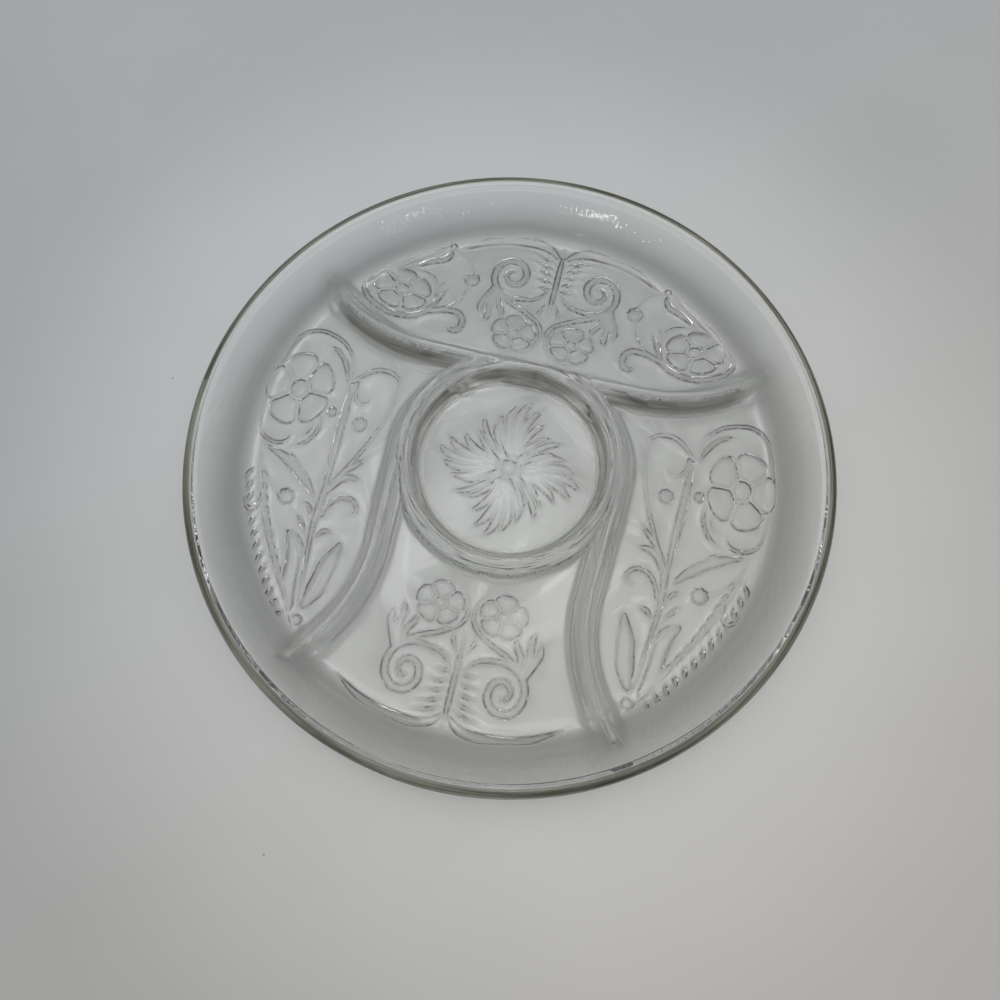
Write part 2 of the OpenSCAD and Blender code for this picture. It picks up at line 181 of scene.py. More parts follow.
# %% Room
ROOM_SHADES = [(0.0, 0.015), (0.3, 0.03), (0.55, 0.16), (0.75, 0.38), (0.87, 0.58), (0.95, 0.95),
               (1.0, 1.0)]
ROOM_LEVEL, PANE_LEVEL = 2.1, 2.0
PANE_LEFT, PANE_RIGHT = (-0.27, -0.20), (0.12, 0.06)
PANE_NEAR, PANE_FAR = (0.02, 0.12), (0.300, 0.278)
BACKDROP = (0.31, 0.33, 0.34, 1)


def room():
    """The world: shades by height with one brighter pane, and the camera's backdrop."""
    world = bpy.data.worlds.new("room")
    world.use_nodes = True
    tree = world.node_tree
    tree.nodes.clear()
    x, y, z = apart(node(tree, "ShaderNodeTexCoord").outputs["Generated"])
    shade = ramp(slope(z, 0.0, 1.0, kind="LINEAR"), ROOM_SHADES)
    pane = product(slope(x, *PANE_LEFT), slope(x, *PANE_RIGHT), slope(y, *PANE_NEAR),
                   slope(y, *PANE_FAR), maths("GREATER_THAN", z, 0.0))
    level = scaled(pane, PANE_LEVEL, ROOM_LEVEL)
    back = first(tree, "ShaderNodeBackground", {"Color": shade, "Strength": level})
    pale = first(tree, "ShaderNodeBackground", {"Color": BACKDROP})
    seen = node(tree, "ShaderNodeLightPath").outputs["Is Camera Ray"]
    both = first(tree, "ShaderNodeMixShader", {0: seen, 1: back, 2: pale})
    node(tree, "ShaderNodeOutputWorld", {"Surface": both})
    bpy.context.scene.world = world


room()
print("room with", len(ROOM_SHADES), "shades")

# %% [markdown]
# The table is a pale painted board with a few dark specks. It is cool at the back left and warm at the
# front right. Its colour also carries painted shade, darker away from the tray and towards the front left
# corner, so the lamps can stay plain. A paler spot under the well is painted light: it stands for the light
# that the glass gathers there.
# Seen from below the table is left clear, so that the tray's underside can be looked at.

# %% Table
TABLE_HALF, TABLE_ROUGHNESS = 12.0, 0.6
TABLE_COOL, TABLE_WARM, WARMING = (0.505, 0.53, 0.55), (0.545, 0.535, 0.51), 1.4
PAINTED_FALLOFF, PAINTED_CORNER_SHADE = (0.17, 0.34, 1.0, 0.80), (-0.12, -0.42, 1.0, 0.86)
GLOW_SPOT, GLOW_REACH, GLOW = (0.0, -0.024, 0.0), (0.055, 0.022), 0.24
CLOUD_SCALE, CLOUD_DETAIL, CLOUD = 14.0, 4.0, 0.06
SPECK_SCALE, SPECK_RARITY, SPECK_SIZE, SPECK_DARK = 30.0, 0.72, 0.09, 0.35


def table_paint():
    """The board's paint, whose colour carries the tones, the clouds, the specks, painted shade and a
    painted pale spot.
    """
    paint, tree, shader = material("pale table", TABLE_ROUGHNESS)
    place = node(tree, "ShaderNodeTexCoord").outputs["Object"]
    x, y, _ = apart(place)
    across = slope(scaled(minus(x, y), WARMING, 0.5), 0.0, 1.0, kind="LINEAR")
    tone = ramp(across, [(0.0, TABLE_COOL), (1.0, TABLE_WARM)])
    away = node(tree, "ShaderNodeVectorMath", {0: place}, operation="LENGTH").outputs["Value"]
    # Painted shade: the board darkens away from the tray and towards the front left corner.
    fade = slope(away, *PAINTED_FALLOFF)
    corner_shade = slope(plus(x, y), *PAINTED_CORNER_SHADE, kind="LINEAR")
    off = node(tree, "ShaderNodeVectorMath", {0: place, 1: GLOW_SPOT}, operation="DISTANCE")
    glow = scaled(slope(off.outputs["Value"], *GLOW_REACH), GLOW, 1.0)
    noise = {"Vector": place, "Scale": CLOUD_SCALE, "Detail": CLOUD_DETAIL}
    cloud = scaled(node(tree, "ShaderNodeTexNoise", noise).outputs["Fac"], CLOUD, 1.0 - CLOUD / 2)
    cells = node(tree, "ShaderNodeTexVoronoi", {"Vector": place, "Scale": SPECK_SCALE, "Randomness": 1.0})
    pick = apart(cells.outputs["Color"])[0]
    size = product(minus(pick, SPECK_RARITY), SPECK_SIZE)
    speck = maths("LESS_THAN", cells.outputs["Distance"], size)
    shade = product(fade, corner_shade, glow, cloud, scaled(speck, -SPECK_DARK, 1.0))
    made = first(tree, "ShaderNodeVectorMath", {0: tone, 3: shade}, operation="SCALE")
    tree.links.new(made, shader.inputs["Base Color"])
    under = node(tree, "ShaderNodeNewGeometry").outputs["Backfacing"]
    clear = first(tree, "ShaderNodeBsdfTransparent")
    sheet = first(tree, "ShaderNodeMixShader", {0: under, 1: shader.outputs[0], 2: clear})
    tree.links.new(sheet, tree.nodes["Material Output"].inputs["Surface"])
    return paint


def table():
    mesh = bpy.data.meshes.new("table")
    corners = [(x * TABLE_HALF, y * TABLE_HALF, 0) for x, y in ((-1, -1), (1, -1), (1, 1), (-1, 1))]
    mesh.from_pydata(corners, [], [(0, 1, 2, 3)])
    mesh.materials.append(table_paint())
    top = placed("table", mesh)
    print("table", round(top.dimensions.x, 1), "m wide")


table()

# %% [markdown]
# Every size of the glass is a name, in millimetres, and follows the CAD part. The foot is a soft
# swelling from FOOT_IN to FOOT_R, because the photo shows no hard line there.

# %% Sizes
RIM_R, TRAY_H = 167.93, 34.0
WALL_LEAN, WALL_T, WALL_COVE_R = 32.0, 8.0, 10.0
RIM_W, RIM_BEAD_R, RIM_EDGE_R = 7.0, 4.5, 0.8
FLOOR_T, FOOT_H, FOOT_W, FOOT_STEP = 6.0, 3.0, 2.4, 0.4
HEEL_ROUND, FOOT_SWELL = 19.0, 60.0
WELL_R, RING_R = 47.5, 54.496
FLOOR_TOP = FOOT_H + FLOOR_T
TAN, COS = math.tan(math.radians(WALL_LEAN)), math.cos(math.radians(WALL_LEAN))
HALF_TURN = math.tan(math.radians(90 - WALL_LEAN) / 2)


def wall_in_r(z):
    """Radius of the wall's inner face at a height."""
    return RIM_R - RIM_W - (TRAY_H - z) * TAN


FLOOR_R = wall_in_r(FLOOR_TOP) - WALL_COVE_R * HALF_TURN
FOOT_IN_R = wall_in_r(FOOT_H) + WALL_T / COS - FOOT_STEP - FOOT_W
PATTERN_SHARE = 0.675
PATTERN_R = FOOT_IN_R * PATTERN_SHARE
FOOT_R = wall_in_r(0) + WALL_T / COS - HEEL_ROUND * HALF_TURN
FOOT_IN = FOOT_R - FOOT_SWELL


def arc(centre, radius, start, end, steps):
    """Points of an arc, from angle start to angle end."""
    turns = [math.radians(start + (end - start) * i / steps) for i in range(steps + 1)]
    return [(centre[0] + radius * math.cos(t), centre[1] + radius * math.sin(t)) for t in turns]


print("floor radius", round(FLOOR_R, 1), "mm, pattern radius", round(PATTERN_R, 1), "mm")

# %% [markdown]
# The blank is one closed shell. Its top and its underside take the pressing, and a lathe section
# turned round the axis joins them: the edge, the round bead of the rim, the nook under it, the
# wall's outside and the heel.

# %% Sections of the blank
TOP_EDGE_R, LOW_EDGE_R = 157.0, 147.0
NOOK_R, SLIVER = 3.0, 0.3
WALL_ROWS, OUTER_DROPS = (29.0, 31.0), (4.0, 8.0)
EDGE_STEPS, BEAD_STEPS, NOOK_STEPS, HEEL_STEPS = 5, 22, 6, 10


def top_height(r):
    """Height of the blank's upper face: floor, cove and wall."""
    cove_end = FLOOR_R + WALL_COVE_R * math.sin(math.radians(90 - WALL_LEAN))
    out = np.clip(r - FLOOR_R, 0, cove_end - FLOOR_R)
    cove = FLOOR_TOP + WALL_COVE_R - np.sqrt(WALL_COVE_R ** 2 - out ** 2)
    return np.where(r < cove_end, cove, TRAY_H - (RIM_R - RIM_W - r) / TAN)


def low_height(r):
    """Height of the blank's underside: the floor, a soft slope down to the foot, and the heel."""
    share = np.clip((r - FOOT_IN) / (FOOT_R - FOOT_IN), 0, 1)
    heel = HEEL_ROUND - np.sqrt(HEEL_ROUND ** 2 - np.clip(r - FOOT_R, 0, HEEL_ROUND) ** 2)
    return FOOT_H * (1 - share * share * (3 - 2 * share)) + heel


def lathe_rows():
    """The section from the edge of the pressed top, round the rim and heel, to the underside."""
    edge_z = TRAY_H - RIM_EDGE_R
    edge = (wall_in_r(edge_z) + RIM_EDGE_R / COS, edge_z)
    bead = (RIM_R - RIM_BEAD_R, TRAY_H - RIM_BEAD_R)
    span = RIM_BEAD_R + NOOK_R
    gap = WALL_T - (bead[0] - wall_in_r(bead[1])) * COS + NOOK_R
    bead_end = -WALL_LEAN - math.degrees(math.acos(gap / span))
    away = math.radians(bead_end)
    nook = (bead[0] + span * math.cos(away), bead[1] + span * math.sin(away))
    rows = [(TOP_EDGE_R, float(top_height(np.array(TOP_EDGE_R))))]
    edge_start = arc(edge, RIM_EDGE_R, 180 - WALL_LEAN, 90, EDGE_STEPS)
    rows += [(wall_in_r(z), z) for z in (*WALL_ROWS, edge_start[0][1] - SLIVER)] + edge_start
    rows += arc(bead, RIM_BEAD_R, 90, bead_end, BEAD_STEPS)[:-1]
    rows += arc(nook, NOOK_R, bead_end + 180, 180 - WALL_LEAN, NOOK_STEPS)
    low = rows[-1][1]
    heel_end = -math.degrees(math.acos((LOW_EDGE_R - FOOT_R) / HEEL_ROUND))
    heel = arc((FOOT_R, HEEL_ROUND), HEEL_ROUND, -WALL_LEAN, heel_end, HEEL_STEPS)
    levels = (low - SLIVER, *(low - drop for drop in OUTER_DROPS), heel[0][1] + SLIVER)
    return rows + [(wall_in_r(z) + WALL_T / COS, z) for z in levels] + heel


print("lathe section of", len(lathe_rows()), "points")

# %% [markdown]
# Both pressed faces are triangles on a lattice of points. It is fine only where something will be
# pressed, which saves points. An attribute marks the points that a press may move.

# %% Blank
ROUND, SPARSE, HEEL_SPARSE, EDGE_ROOM, TINY = 360, 3, 2, 0.6, 1e-6


def ring(radius, z, count):
    """Points round a circle."""
    turns = 2 * math.pi * np.arange(count) / count
    return np.column_stack([radius * np.cos(turns), radius * np.sin(turns), np.full(count, z)])


def lattice(radius, step, busy):
    """Points of a triangular lattice inside a circle: all of them in busy places, fewer elsewhere."""
    rows = int(radius / (step * math.sqrt(3) / 2)) + 2
    i, j = np.meshgrid(np.arange(-rows, rows + 1), np.arange(-rows, rows + 1))
    x = (i + 0.5 * (j % 2)) * step
    y = j * step * math.sqrt(3) / 2
    inside = np.hypot(x, y) < radius - EDGE_ROOM * step
    heel = (np.hypot(x, y) > FOOT_R - FOOT_H) & (i % HEEL_SPARSE == 0) & (j % HEEL_SPARSE == 0)
    inside &= busy(x, y) | heel | ((i % SPARSE == 0) & (j % SPARSE == 0))
    return np.column_stack([x[inside], y[inside]])


def disc(points, edge):
    """The points of a disc, with its edge ring first, and its triangles."""
    flat = [Vector(p) for p in np.vstack([edge[:, :2], points])]
    made = delaunay_2d_cdt(flat, [], [], 0, TINY)
    return np.array([tuple(v) for v in made[0]]), np.array(made[2])


def blank(carved, raised, fine):
    """The closed blank, with 'side' 1 on the pressed top and -1 on the pressed underside."""
    rows = lathe_rows()
    top_xy, top_faces = disc(lattice(TOP_EDGE_R, fine, raised), ring(TOP_EDGE_R, 0, ROUND))
    low_xy, low_faces = disc(lattice(LOW_EDGE_R, fine, carved), ring(LOW_EDGE_R, 0, ROUND))
    middle = np.vstack([ring(r, z, ROUND) for r, z in rows[1:-1]])
    top = np.column_stack([top_xy, top_height(np.hypot(*top_xy.T))])
    low = np.column_stack([low_xy, low_height(np.hypot(*low_xy.T))])
    points = np.vstack([top, low, middle])
    starts = [0] + [len(top) + len(low) + k * ROUND for k in range(len(rows) - 2)] + [len(top)]
    k = np.arange(ROUND)
    after = (k + 1) % ROUND
    quads = [np.column_stack([a + k, b + k, b + after, a + after]) for a, b in zip(starts, starts[1:])]
    under = low_faces[:, ::-1] + len(top)
    faces = [*top_faces.tolist(), *under.tolist(), *np.vstack(quads).tolist()]
    mesh = bpy.data.meshes.new("blank")
    mesh.from_pydata((points * MM).tolist(), [], faces)
    mesh.polygons.foreach_set("use_smooth", [True] * len(faces))
    side = np.zeros(len(points), np.float32)
    side[ROUND:len(top)] = 1
    side[len(top) + ROUND:len(top) + len(low)] = -1
    mesh.attributes.new("side", "FLOAT", "POINT").data.foreach_set("value", side)
    print("blank:", len(points), "points,", len(faces), "faces")
    return placed("blank", mesh)


# %% [markdown]
# One glass does for the whole tray. It is clear, but pressed glass also shows fine streaks: light
# bent along the flanks of its ridges. Noise drawn out along the ring, the rim and the crests makes
# them as streaks in the painted shade, because it changes fast across a ridge and slowly along it.

# %% Streaks
STREAK_SCALES, STREAK_DETAIL, BEAD_FROM, RING_OUT = (900.0, 2.5, 500.0), 3.0, 0.158, 0.0605


def streaks(tree, place, r, ridge):
    """Noise drawn out along the ridges, for streaks in the painted shade."""
    x, y, z = apart(place)
    across = scaled(maths("GREATER_THAN", r, RING_OUT), minus(ridge, r), r)
    across = scaled(maths("GREATER_THAN", r, BEAD_FROM), minus(r, ridge), across)
    parts = (across, maths("ARCTAN2", y, x), z)
    along = together(*(product(part, scale) for part, scale in zip(parts, STREAK_SCALES)))
    noise = {"Vector": along, "Scale": 1.0, "Detail": STREAK_DETAIL}
    return node(tree, "ShaderNodeTexNoise", noise).outputs["Fac"]


# %% [markdown]
# A few places need more than clearness, so shade is painted into the glass there. The rim is seen edge
# on, through so much glass that it reads dark olive: partly the glass's own tint, painted darker as shade.
# The flanks of the ring and of the dividers, the lenses on the horns, a line at the foot of the ring and
# the steep edges of the sunk pattern send light sideways, so they read as dark bands and lines, all painted
# shade. Each place is found from its position, as where it starts and where it is full, in metres, or from
# its slope.

# %% Painted dark places
RIM_FROM, RIM_ABOVE = (0.1622, 0.1634), (0.0275, 0.0285)
RAISED, ON_FLOOR = (0.0093, 0.0103), (0.0086, 0.0090)
RING_FROM, FLANK_TO, RING_TO = (0.0466, 0.0474), (0.0535, 0.0515), (0.0625, 0.0605)
FOOT_FROM, FOOT_TO = (0.0459, 0.0463), (0.0471, 0.0467)
SIDES_FROM, SIDES_TO, SIDES_REACH = (0.0595, 0.0615), (0.138, 0.125), (0.010, 0.0085)
LINE_STREAK, SIDE_STREAK = (0.44, 0.37), (0.46, 0.38)
EDGE_LEAN, EDGE_BELOW, EDGE_TO = (0.90, 0.64), (0.0075, 0.0065), (0.143, 0.140)
FLANK_DARK, LINE_DARK, SIDE_DARK, LENS_DARK, FOOT_DARK, EDGE_DARK = 0.8, 0.85, 0.38, 0.85, 0.4, 1.0


def painted_dark_places(tree, r, z, ridge, streak):
    """How much painted shade each place gets: the darkest of the rim, ring, dividers, lenses, ring foot and
    pattern edges.
    """
    lens = node(tree, "ShaderNodeAttribute", attribute_name="lens").outputs["Fac"]
    raised, ring_from = slope(z, *RAISED), slope(r, *RING_FROM)
    lean = maths("ABSOLUTE", apart(node(tree, "ShaderNodeNewGeometry").outputs["Normal"])[2])
    # Painted shade: each share below darkens the glass's colour and cuts its clearness.
    painted_dark = product(slope(r, *RIM_FROM), slope(z, *RIM_ABOVE))
    for shares in (
            (raised, ring_from, slope(r, *FLANK_TO), FLANK_DARK),
            (raised, ring_from, slope(r, *RING_TO), slope(streak, *LINE_STREAK), LINE_DARK),
            (raised, slope(r, *SIDES_FROM), slope(ridge, *SIDES_REACH), slope(r, *SIDES_TO),
             slope(streak, *SIDE_STREAK), SIDE_DARK),
            (lens, raised, LENS_DARK),
            (slope(z, *ON_FLOOR), slope(r, *FOOT_FROM), slope(r, *FOOT_TO), FOOT_DARK),
            (slope(lean, *EDGE_LEAN), slope(z, *EDGE_BELOW), slope(r, *EDGE_TO), EDGE_DARK)):
        painted_dark = maths("MAXIMUM", painted_dark, product(*shares))
    return painted_dark


# %% [markdown]
# The glass itself is one shader. Where shade is painted, it lets less light through and takes on
# dark olive tones: painted shade, with the glass's own olive tint at the rim.

# %% Glass
IOR, CLEAR, SHUT = 1.5, (0.99, 1.0, 0.99, 1), 0.65
# Olive tones of the painted shade, with the glass's own olive tint at the rim.
OLIVES_AND_SHADE = [(0.32, (0.05, 0.053, 0.036)), (0.5, (0.13, 0.135, 0.10)), (0.68, (0.26, 0.27, 0.22))]


def glass_material():
    """Clear glass with painted shade: a dark olive where its shape hides the light."""
    made, tree, shader = material("clear pressed glass", 0.0)
    shader.inputs["IOR"].default_value = IOR
    place = node(tree, "ShaderNodeTexCoord").outputs["Object"]
    x, y, z = apart(place)
    r = reach(x, y)
    ridge = node(tree, "ShaderNodeAttribute", attribute_name="ridge").outputs["Fac"]
    streak = streaks(tree, place, r, ridge)
    # Painted shade darkens the colour and cuts the clearness.
    painted_dark = painted_dark_places(tree, r, z, ridge, streak)
    tones = {0: painted_dark, 6: CLEAR, 7: ramp(streak, OLIVES_AND_SHADE)}
    tone = node(tree, "ShaderNodeMix", tones, data_type="RGBA").outputs[2]
    tree.links.new(tone, shader.inputs["Base Color"])
    tree.links.new(scaled(painted_dark, -SHUT, 1.0), shader.inputs["Transmission Weight"])
    return made


GLASS = glass_material()
print("glass:", len(GLASS.node_tree.nodes), "nodes")

# %% [markdown]
# Geometry Nodes do the pressing. A few helpers start a tree with named inputs, run it on an object
# and take the plain mesh, and store or read values on points.

# %% Tree helpers
def grower(name, inputs):
    """An empty Geometry Nodes tree with named inputs."""
    tree = bpy.data.node_groups.new(name, "GeometryNodeTree")
    for way in ("OUTPUT", "INPUT"):
        tree.interface.new_socket("Geometry", in_out=way, socket_type="NodeSocketGeometry")
    for label, kind in inputs.items():
        tree.interface.new_socket(label, in_out="INPUT", socket_type="NodeSocket" + kind)
    return tree, tree.nodes.new("NodeGroupInput").outputs


def grown(obj, tree, result, values):
    """Ends the tree, runs it on an object with its inputs set, and returns the plain mesh."""
    real = first(tree, "GeometryNodeRealizeInstances", {0: result})
    done = first(tree, "GeometryNodeSetMaterial", {"Geometry": real, "Material": GLASS})
    node(tree, "NodeGroupOutput", {"Geometry": done})
    modifier = obj.modifiers.new(tree.name, "NODES")
    modifier.node_group = tree
    for socket in tree.interface.items_tree:
        if socket.name in values:
            modifier[socket.identifier] = values[socket.name]
    return baked(obj)


def baked(obj):
    """The mesh that an object's modifiers make. They are removed."""
    graph = bpy.context.evaluated_depsgraph_get()
    mesh = bpy.data.meshes.new_from_object(obj.evaluated_get(graph), depsgraph=graph)
    obj.modifiers.clear()
    return mesh


def position(tree):
    return apart(first(tree, "GeometryNodeInputPosition"))


def named(tree, label, kind="FLOAT"):
    return first(tree, "GeometryNodeInputNamedAttribute", {"Name": label}, data_type=kind)


def keep_as(geometry, label, value):
    inputs = {"Geometry": geometry, "Name": label, "Value": value}
    return first(geometry.id_data, "GeometryNodeStoreNamedAttribute", inputs)


def taken(item):
    return node(item.id_data, "GeometryNodeObjectInfo", {"Object": item}).outputs["Geometry"]


def joined(*items):
    tree = tree_of(*items)
    made = node(tree, "GeometryNodeJoinGeometry")
    for item in items:
        tree.links.new(item, made.inputs[0])
    return made.outputs[0]


def moved(geometry, z, chosen=True):
    """Moves the chosen points of a geometry to height z."""
    tree = geometry.id_data
    x, y, _ = position(tree)
    inputs = {"Geometry": geometry, "Selection": chosen, "Position": together(x, y, z)}
    return first(tree, "GeometryNodeSetPosition", inputs)


def repeated(points, item, turn, **others):
    """An item copied onto points."""
    inputs = {"Points": points, "Instance": item, "Rotation": turn, **others}
    copies = first(points.id_data, "GeometryNodeInstanceOnPoints", inputs)
    return first(points.id_data, "GeometryNodeRealizeInstances", {0: copies})


# %% [markdown]
# The sunk pattern is roses, scrolls, leaves and feathers, a common ornament of pressed glass. Each
# stroke is a few points along its middle line, with its width at the start, the middle and the end.
# The unit is the pattern's radius, or the well's for its leaves. One half is enough, because the
# other is its mirror image.

# %% Pattern tables
SCROLLS = [
    ([[0.02, 1.14], [0.08, 1.06], [0.17, 1.03], [0.27, 1.035], [0.345, 1.09], [0.365, 1.17],
      [0.335, 1.245], [0.265, 1.275], [0.20, 1.24], [0.185, 1.175], [0.22, 1.12], [0.275, 1.125],
      [0.295, 1.175], [0.265, 1.205], [0.24, 1.18]], [0.02, 0.05, 0.02]),
    ([[0.34, 1.09], [0.375, 1.0], [0.40, 0.93], [0.385, 0.865]], [0.04, 0.05, 0.01]),
    ([[0.33, 1.07], [0.35, 0.97], [0.345, 0.88], [0.355, 0.82]], [0.03, 0.05, 0.01]),
    ([[0.31, 1.06], [0.305, 0.98], [0.27, 0.92], [0.265, 0.875]], [0.03, 0.045, 0.01]),
    ([[0.30, 1.03], [0.22, 0.985], [0.11, 0.935], [0.03, 0.87], [0.02, 0.79], [0.06, 0.72],
      [0.14, 0.685], [0.23, 0.695], [0.29, 0.75], [0.295, 0.825]], [0.04, 0.024, 0.012]),
    ([[0.02, 1.04], [0.055, 0.97], [0.06, 0.91]], [0.015, 0.03, 0.01]),
    ([[0.015, 1.105], [0.06, 1.13], [0.125, 1.11]], [0.012, 0.03, 0.01]),
    ([[0.015, 1.15], [0.07, 1.185], [0.145, 1.17]], [0.012, 0.03, 0.01]),
    ([[0.015, 1.195], [0.075, 1.235], [0.16, 1.23]], [0.012, 0.03, 0.01]),
    ([[0.015, 1.24], [0.08, 1.285], [0.18, 1.30]], [0.012, 0.03, 0.01]),
    ([[0.015, 1.285], [0.09, 1.335], [0.21, 1.355]], [0.012, 0.03, 0.01]),
    ([[0.01, 1.34], [0.09, 1.405], [0.24, 1.425], [0.42, 1.385], [0.60, 1.28]], [0.02, 0.075, 0.015]),
]
STEM = [([[0, 0.90], [0, 1.1], [0, 1.28], [0, 1.44]], [0.012, 0.04, 0.012])]
SPRAY = [
    ([[0.672, 0.96], [0.70, 1.035], [0.78, 1.075], [0.86, 1.07]], [0.02, 0.025, 0.01]),
    ([[0.665, 0.99], [0.665, 0.90], [0.70, 0.82], [0.78, 0.775], [0.88, 0.765], [1.0, 0.80],
      [1.075, 0.855], [1.10, 0.92], [1.06, 0.985]], [0.02, 0.045, 0.025]),
    ([[1.075, 0.965], [0.98, 1.06], [0.87, 1.145], [0.76, 1.225], [0.68, 1.28]], [0.025, 0.045, 0.02]),
    ([[0.655, 1.26], [0.67, 1.20], [0.76, 1.155], [0.84, 1.10]], [0.03, 0.05, 0.02]),
    ([[0.76, 0.80], [0.66, 0.83], [0.58, 0.855], [0.505, 0.845], [0.475, 0.785], [0.50, 0.735],
      [0.55, 0.74]], [0.02, 0.045, 0.03]),
    ([[0.68, 0.83], [0.58, 0.88], [0.515, 0.96], [0.49, 1.05]], [0.03, 0.025, 0.02]),
    ([[0.49, 1.13], [0.53, 1.20], [0.63, 1.27]], [0.02, 0.02, 0.015]),
    ([[0.67, 0.84], [0.645, 0.93], [0.59, 1.01]], [0.02, 0.035, 0.01]),
    ([[0.68, 0.92], [0.66, 0.99], [0.62, 1.07]], [0.015, 0.025, 0.01]),
]
HEART = [
    ([[0.98, 0.29], [1.0, 0.39], [1.07, 0.49], [1.17, 0.545], [1.29, 0.55], [1.37, 0.49],
      [1.41, 0.38], [1.435, 0.22], [1.44, 0.06], [1.42, -0.06]], [0.02, 0.03, 0.015]),
    ([[1.0, 0.27], [1.04, 0.37], [1.11, 0.45], [1.21, 0.485]], [0.02, 0.04, 0.01]),
    ([[0.98, 0.29], [0.93, 0.34], [0.87, 0.385], [0.80, 0.395], [0.74, 0.37], [0.70, 0.325]],
     [0.02, 0.035, 0.02]),
    ([[0.955, 0.30], [0.945, 0.22], [0.91, 0.175], [0.86, 0.175], [0.845, 0.22]], [0.03, 0.025, 0.015]),
    ([[0.71, 0.33], [0.725, 0.17], [0.77, 0], [0.84, -0.17], [0.93, -0.35]], [0.02, 0.025, 0.03]),
    ([[0.975, 0.29], [0.97, 0.10], [0.96, -0.10], [0.945, -0.35]], [0.025, 0.055, 0.03]),
    ([[0.77, 0], [0.80, 0.03], [0.84, 0.05]], [0.015, 0.02, 0.015]),
    ([[1.12, 0.02], [1.125, -0.06], [1.19, -0.125]], [0.015, 0.025, 0.01]),
    ([[1.215, -0.09], [1.25, -0.145], [1.33, -0.155], [1.40, -0.11], [1.44, 0]], [0.015, 0.03, 0.015]),
    ([[1.09, 0.10], [1.085, -0.03], [1.13, -0.12], [1.22, -0.18]], [0.015, 0.03, 0.015]),
    ([[1.12, -0.25], [1.17, -0.22], [1.215, -0.19]], [0.015, 0.03, 0.01]),
    ([[0.98, -0.42], [1.07, -0.33], [1.2, -0.24], [1.36, -0.18]], [0.02, 0.07, 0.015]),
    ([[1.0, -0.13], [1.07, -0.10]], [0.01, 0.03, 0.01]),
    ([[1.0, -0.24], [1.08, -0.17]], [0.01, 0.04, 0.01]),
    ([[0.935, -0.33], [0.945, -0.50], [0.93, -0.70], [0.905, -0.88], [0.88, -1.02]],
     [0.05, 0.03, 0.02]),
    ([[0.925, -0.38], [0.85, -0.27], [0.74, -0.27]], [0.02, 0.05, 0.01]),
    ([[0.92, -0.30], [0.83, -0.20], [0.74, -0.12]], [0.02, 0.04, 0.01]),
    ([[0.925, -0.52], [0.89, -0.43], [0.82, -0.38], [0.755, -0.40], [0.745, -0.455], [0.79, -0.47]],
     [0.03, 0.03, 0.02]),
    ([[0.92, -0.64], [0.88, -0.585], [0.81, -0.575]], [0.015, 0.035, 0.01]),
    ([[0.955, -0.56], [1.0, -0.47], [1.06, -0.44]], [0.015, 0.035, 0.01]),
    ([[0.95, -0.64], [1.02, -0.555], [1.065, -0.51]], [0.015, 0.035, 0.01]),
    ([[0.94, -0.75], [0.99, -0.665], [1.085, -0.60]], [0.02, 0.035, 0.01]),
    ([[1.16, -0.44], [1.27, -0.37], [1.35, -0.22]], [0.02, 0.022, 0.015]),
    ([[0.765, -0.62], [0.805, -0.76], [0.83, -0.90], [0.87, -1.01]], [0.03, 0.11, 0.04]),
    ([[1.07, -0.62], [1.0, -0.74], [0.975, -0.90], [0.93, -1.02]], [0.03, 0.09, 0.04]),
    ([[1.28, -0.40], [1.27, -0.49], [1.30, -0.555], [1.345, -0.55], [1.37, -0.50]], [0.02, 0.035, 0.02]),
]
FROND_RIB = [([[1.34, -0.31], [1.28, -0.46], [1.18, -0.66], [1.06, -0.85], [0.95, -1.03]],
              [0.015, 0.025, 0.02])]
BARBS = [([[-0.01, 0.0], [-0.045, -0.045], [-0.06, -0.10]], [0.014, 0.034, 0.012]),
         ([[0.01, -0.01], [0.045, -0.055], [0.06, -0.12]], [0.014, 0.034, 0.012])]
LEAF = [([[0.07, 0.01], [0.26, 0.14], [0.46, 0.27], [0.66, 0.30]], [0.03, 0.11, 0.02]),
        ([[0.07, 0.01], [0.30, 0.10], [0.58, 0.19], [0.81, 0.15]], [0.03, 0.13, 0.02]),
        ([[0.07, 0.0], [0.36, 0.05], [0.68, 0.08], [0.91, -0.02]], [0.03, 0.14, 0.02]),
        ([[0.07, 0.0], [0.36, 0.0], [0.64, -0.04], [0.83, -0.17]], [0.03, 0.13, 0.02]),
        ([[0.07, -0.01], [0.30, -0.05], [0.52, -0.13], [0.67, -0.28]], [0.03, 0.11, 0.02]),
        ([[0.07, -0.01], [0.24, -0.09], [0.38, -0.19], [0.46, -0.34]], [0.03, 0.08, 0.015])]
LEAFLET = [([[0.16, 0.06], [0.34, 0.11], [0.50, 0.13], [0.66, 0.07]], [0.02, 0.08, 0.015]),
           ([[0.16, 0.03], [0.36, 0.05], [0.56, 0.04], [0.76, -0.06]], [0.02, 0.10, 0.015]),
           ([[0.16, 0.0], [0.32, -0.02], [0.48, -0.06], [0.62, -0.16]], [0.02, 0.08, 0.015])]
LEAF_TURN = -6
LEAFLET_TURN, HUB_SHARE = 45, 0.12
# Roses: centre, radii along and across, turn in degrees, and the ways in which each is mirrored
ROSES = [([0.17, 0.80], [0.118, 0.135], 90, "XY"), ([0.875, 0.935], [0.185, 0.14], 12, "X"),
         ([1.265, 0.18], [0.205, 0.235], 3, "X")]
# Beads: centre and radius
BEADS = [([0.49, 1.09], 0.055), ([0.655, 1.285], 0.025), ([0.865, 0.045], 0.05), ([1.04, 0.085], 0.035),
         ([1.14, -0.445], 0.055), ([0.875, -1.07], 0.035)]
print(sum(len(part) for part in (SCROLLS, STEM, SPRAY, HEART, FROND_RIB, BARBS, LEAF, LEAFLET)), "strokes")

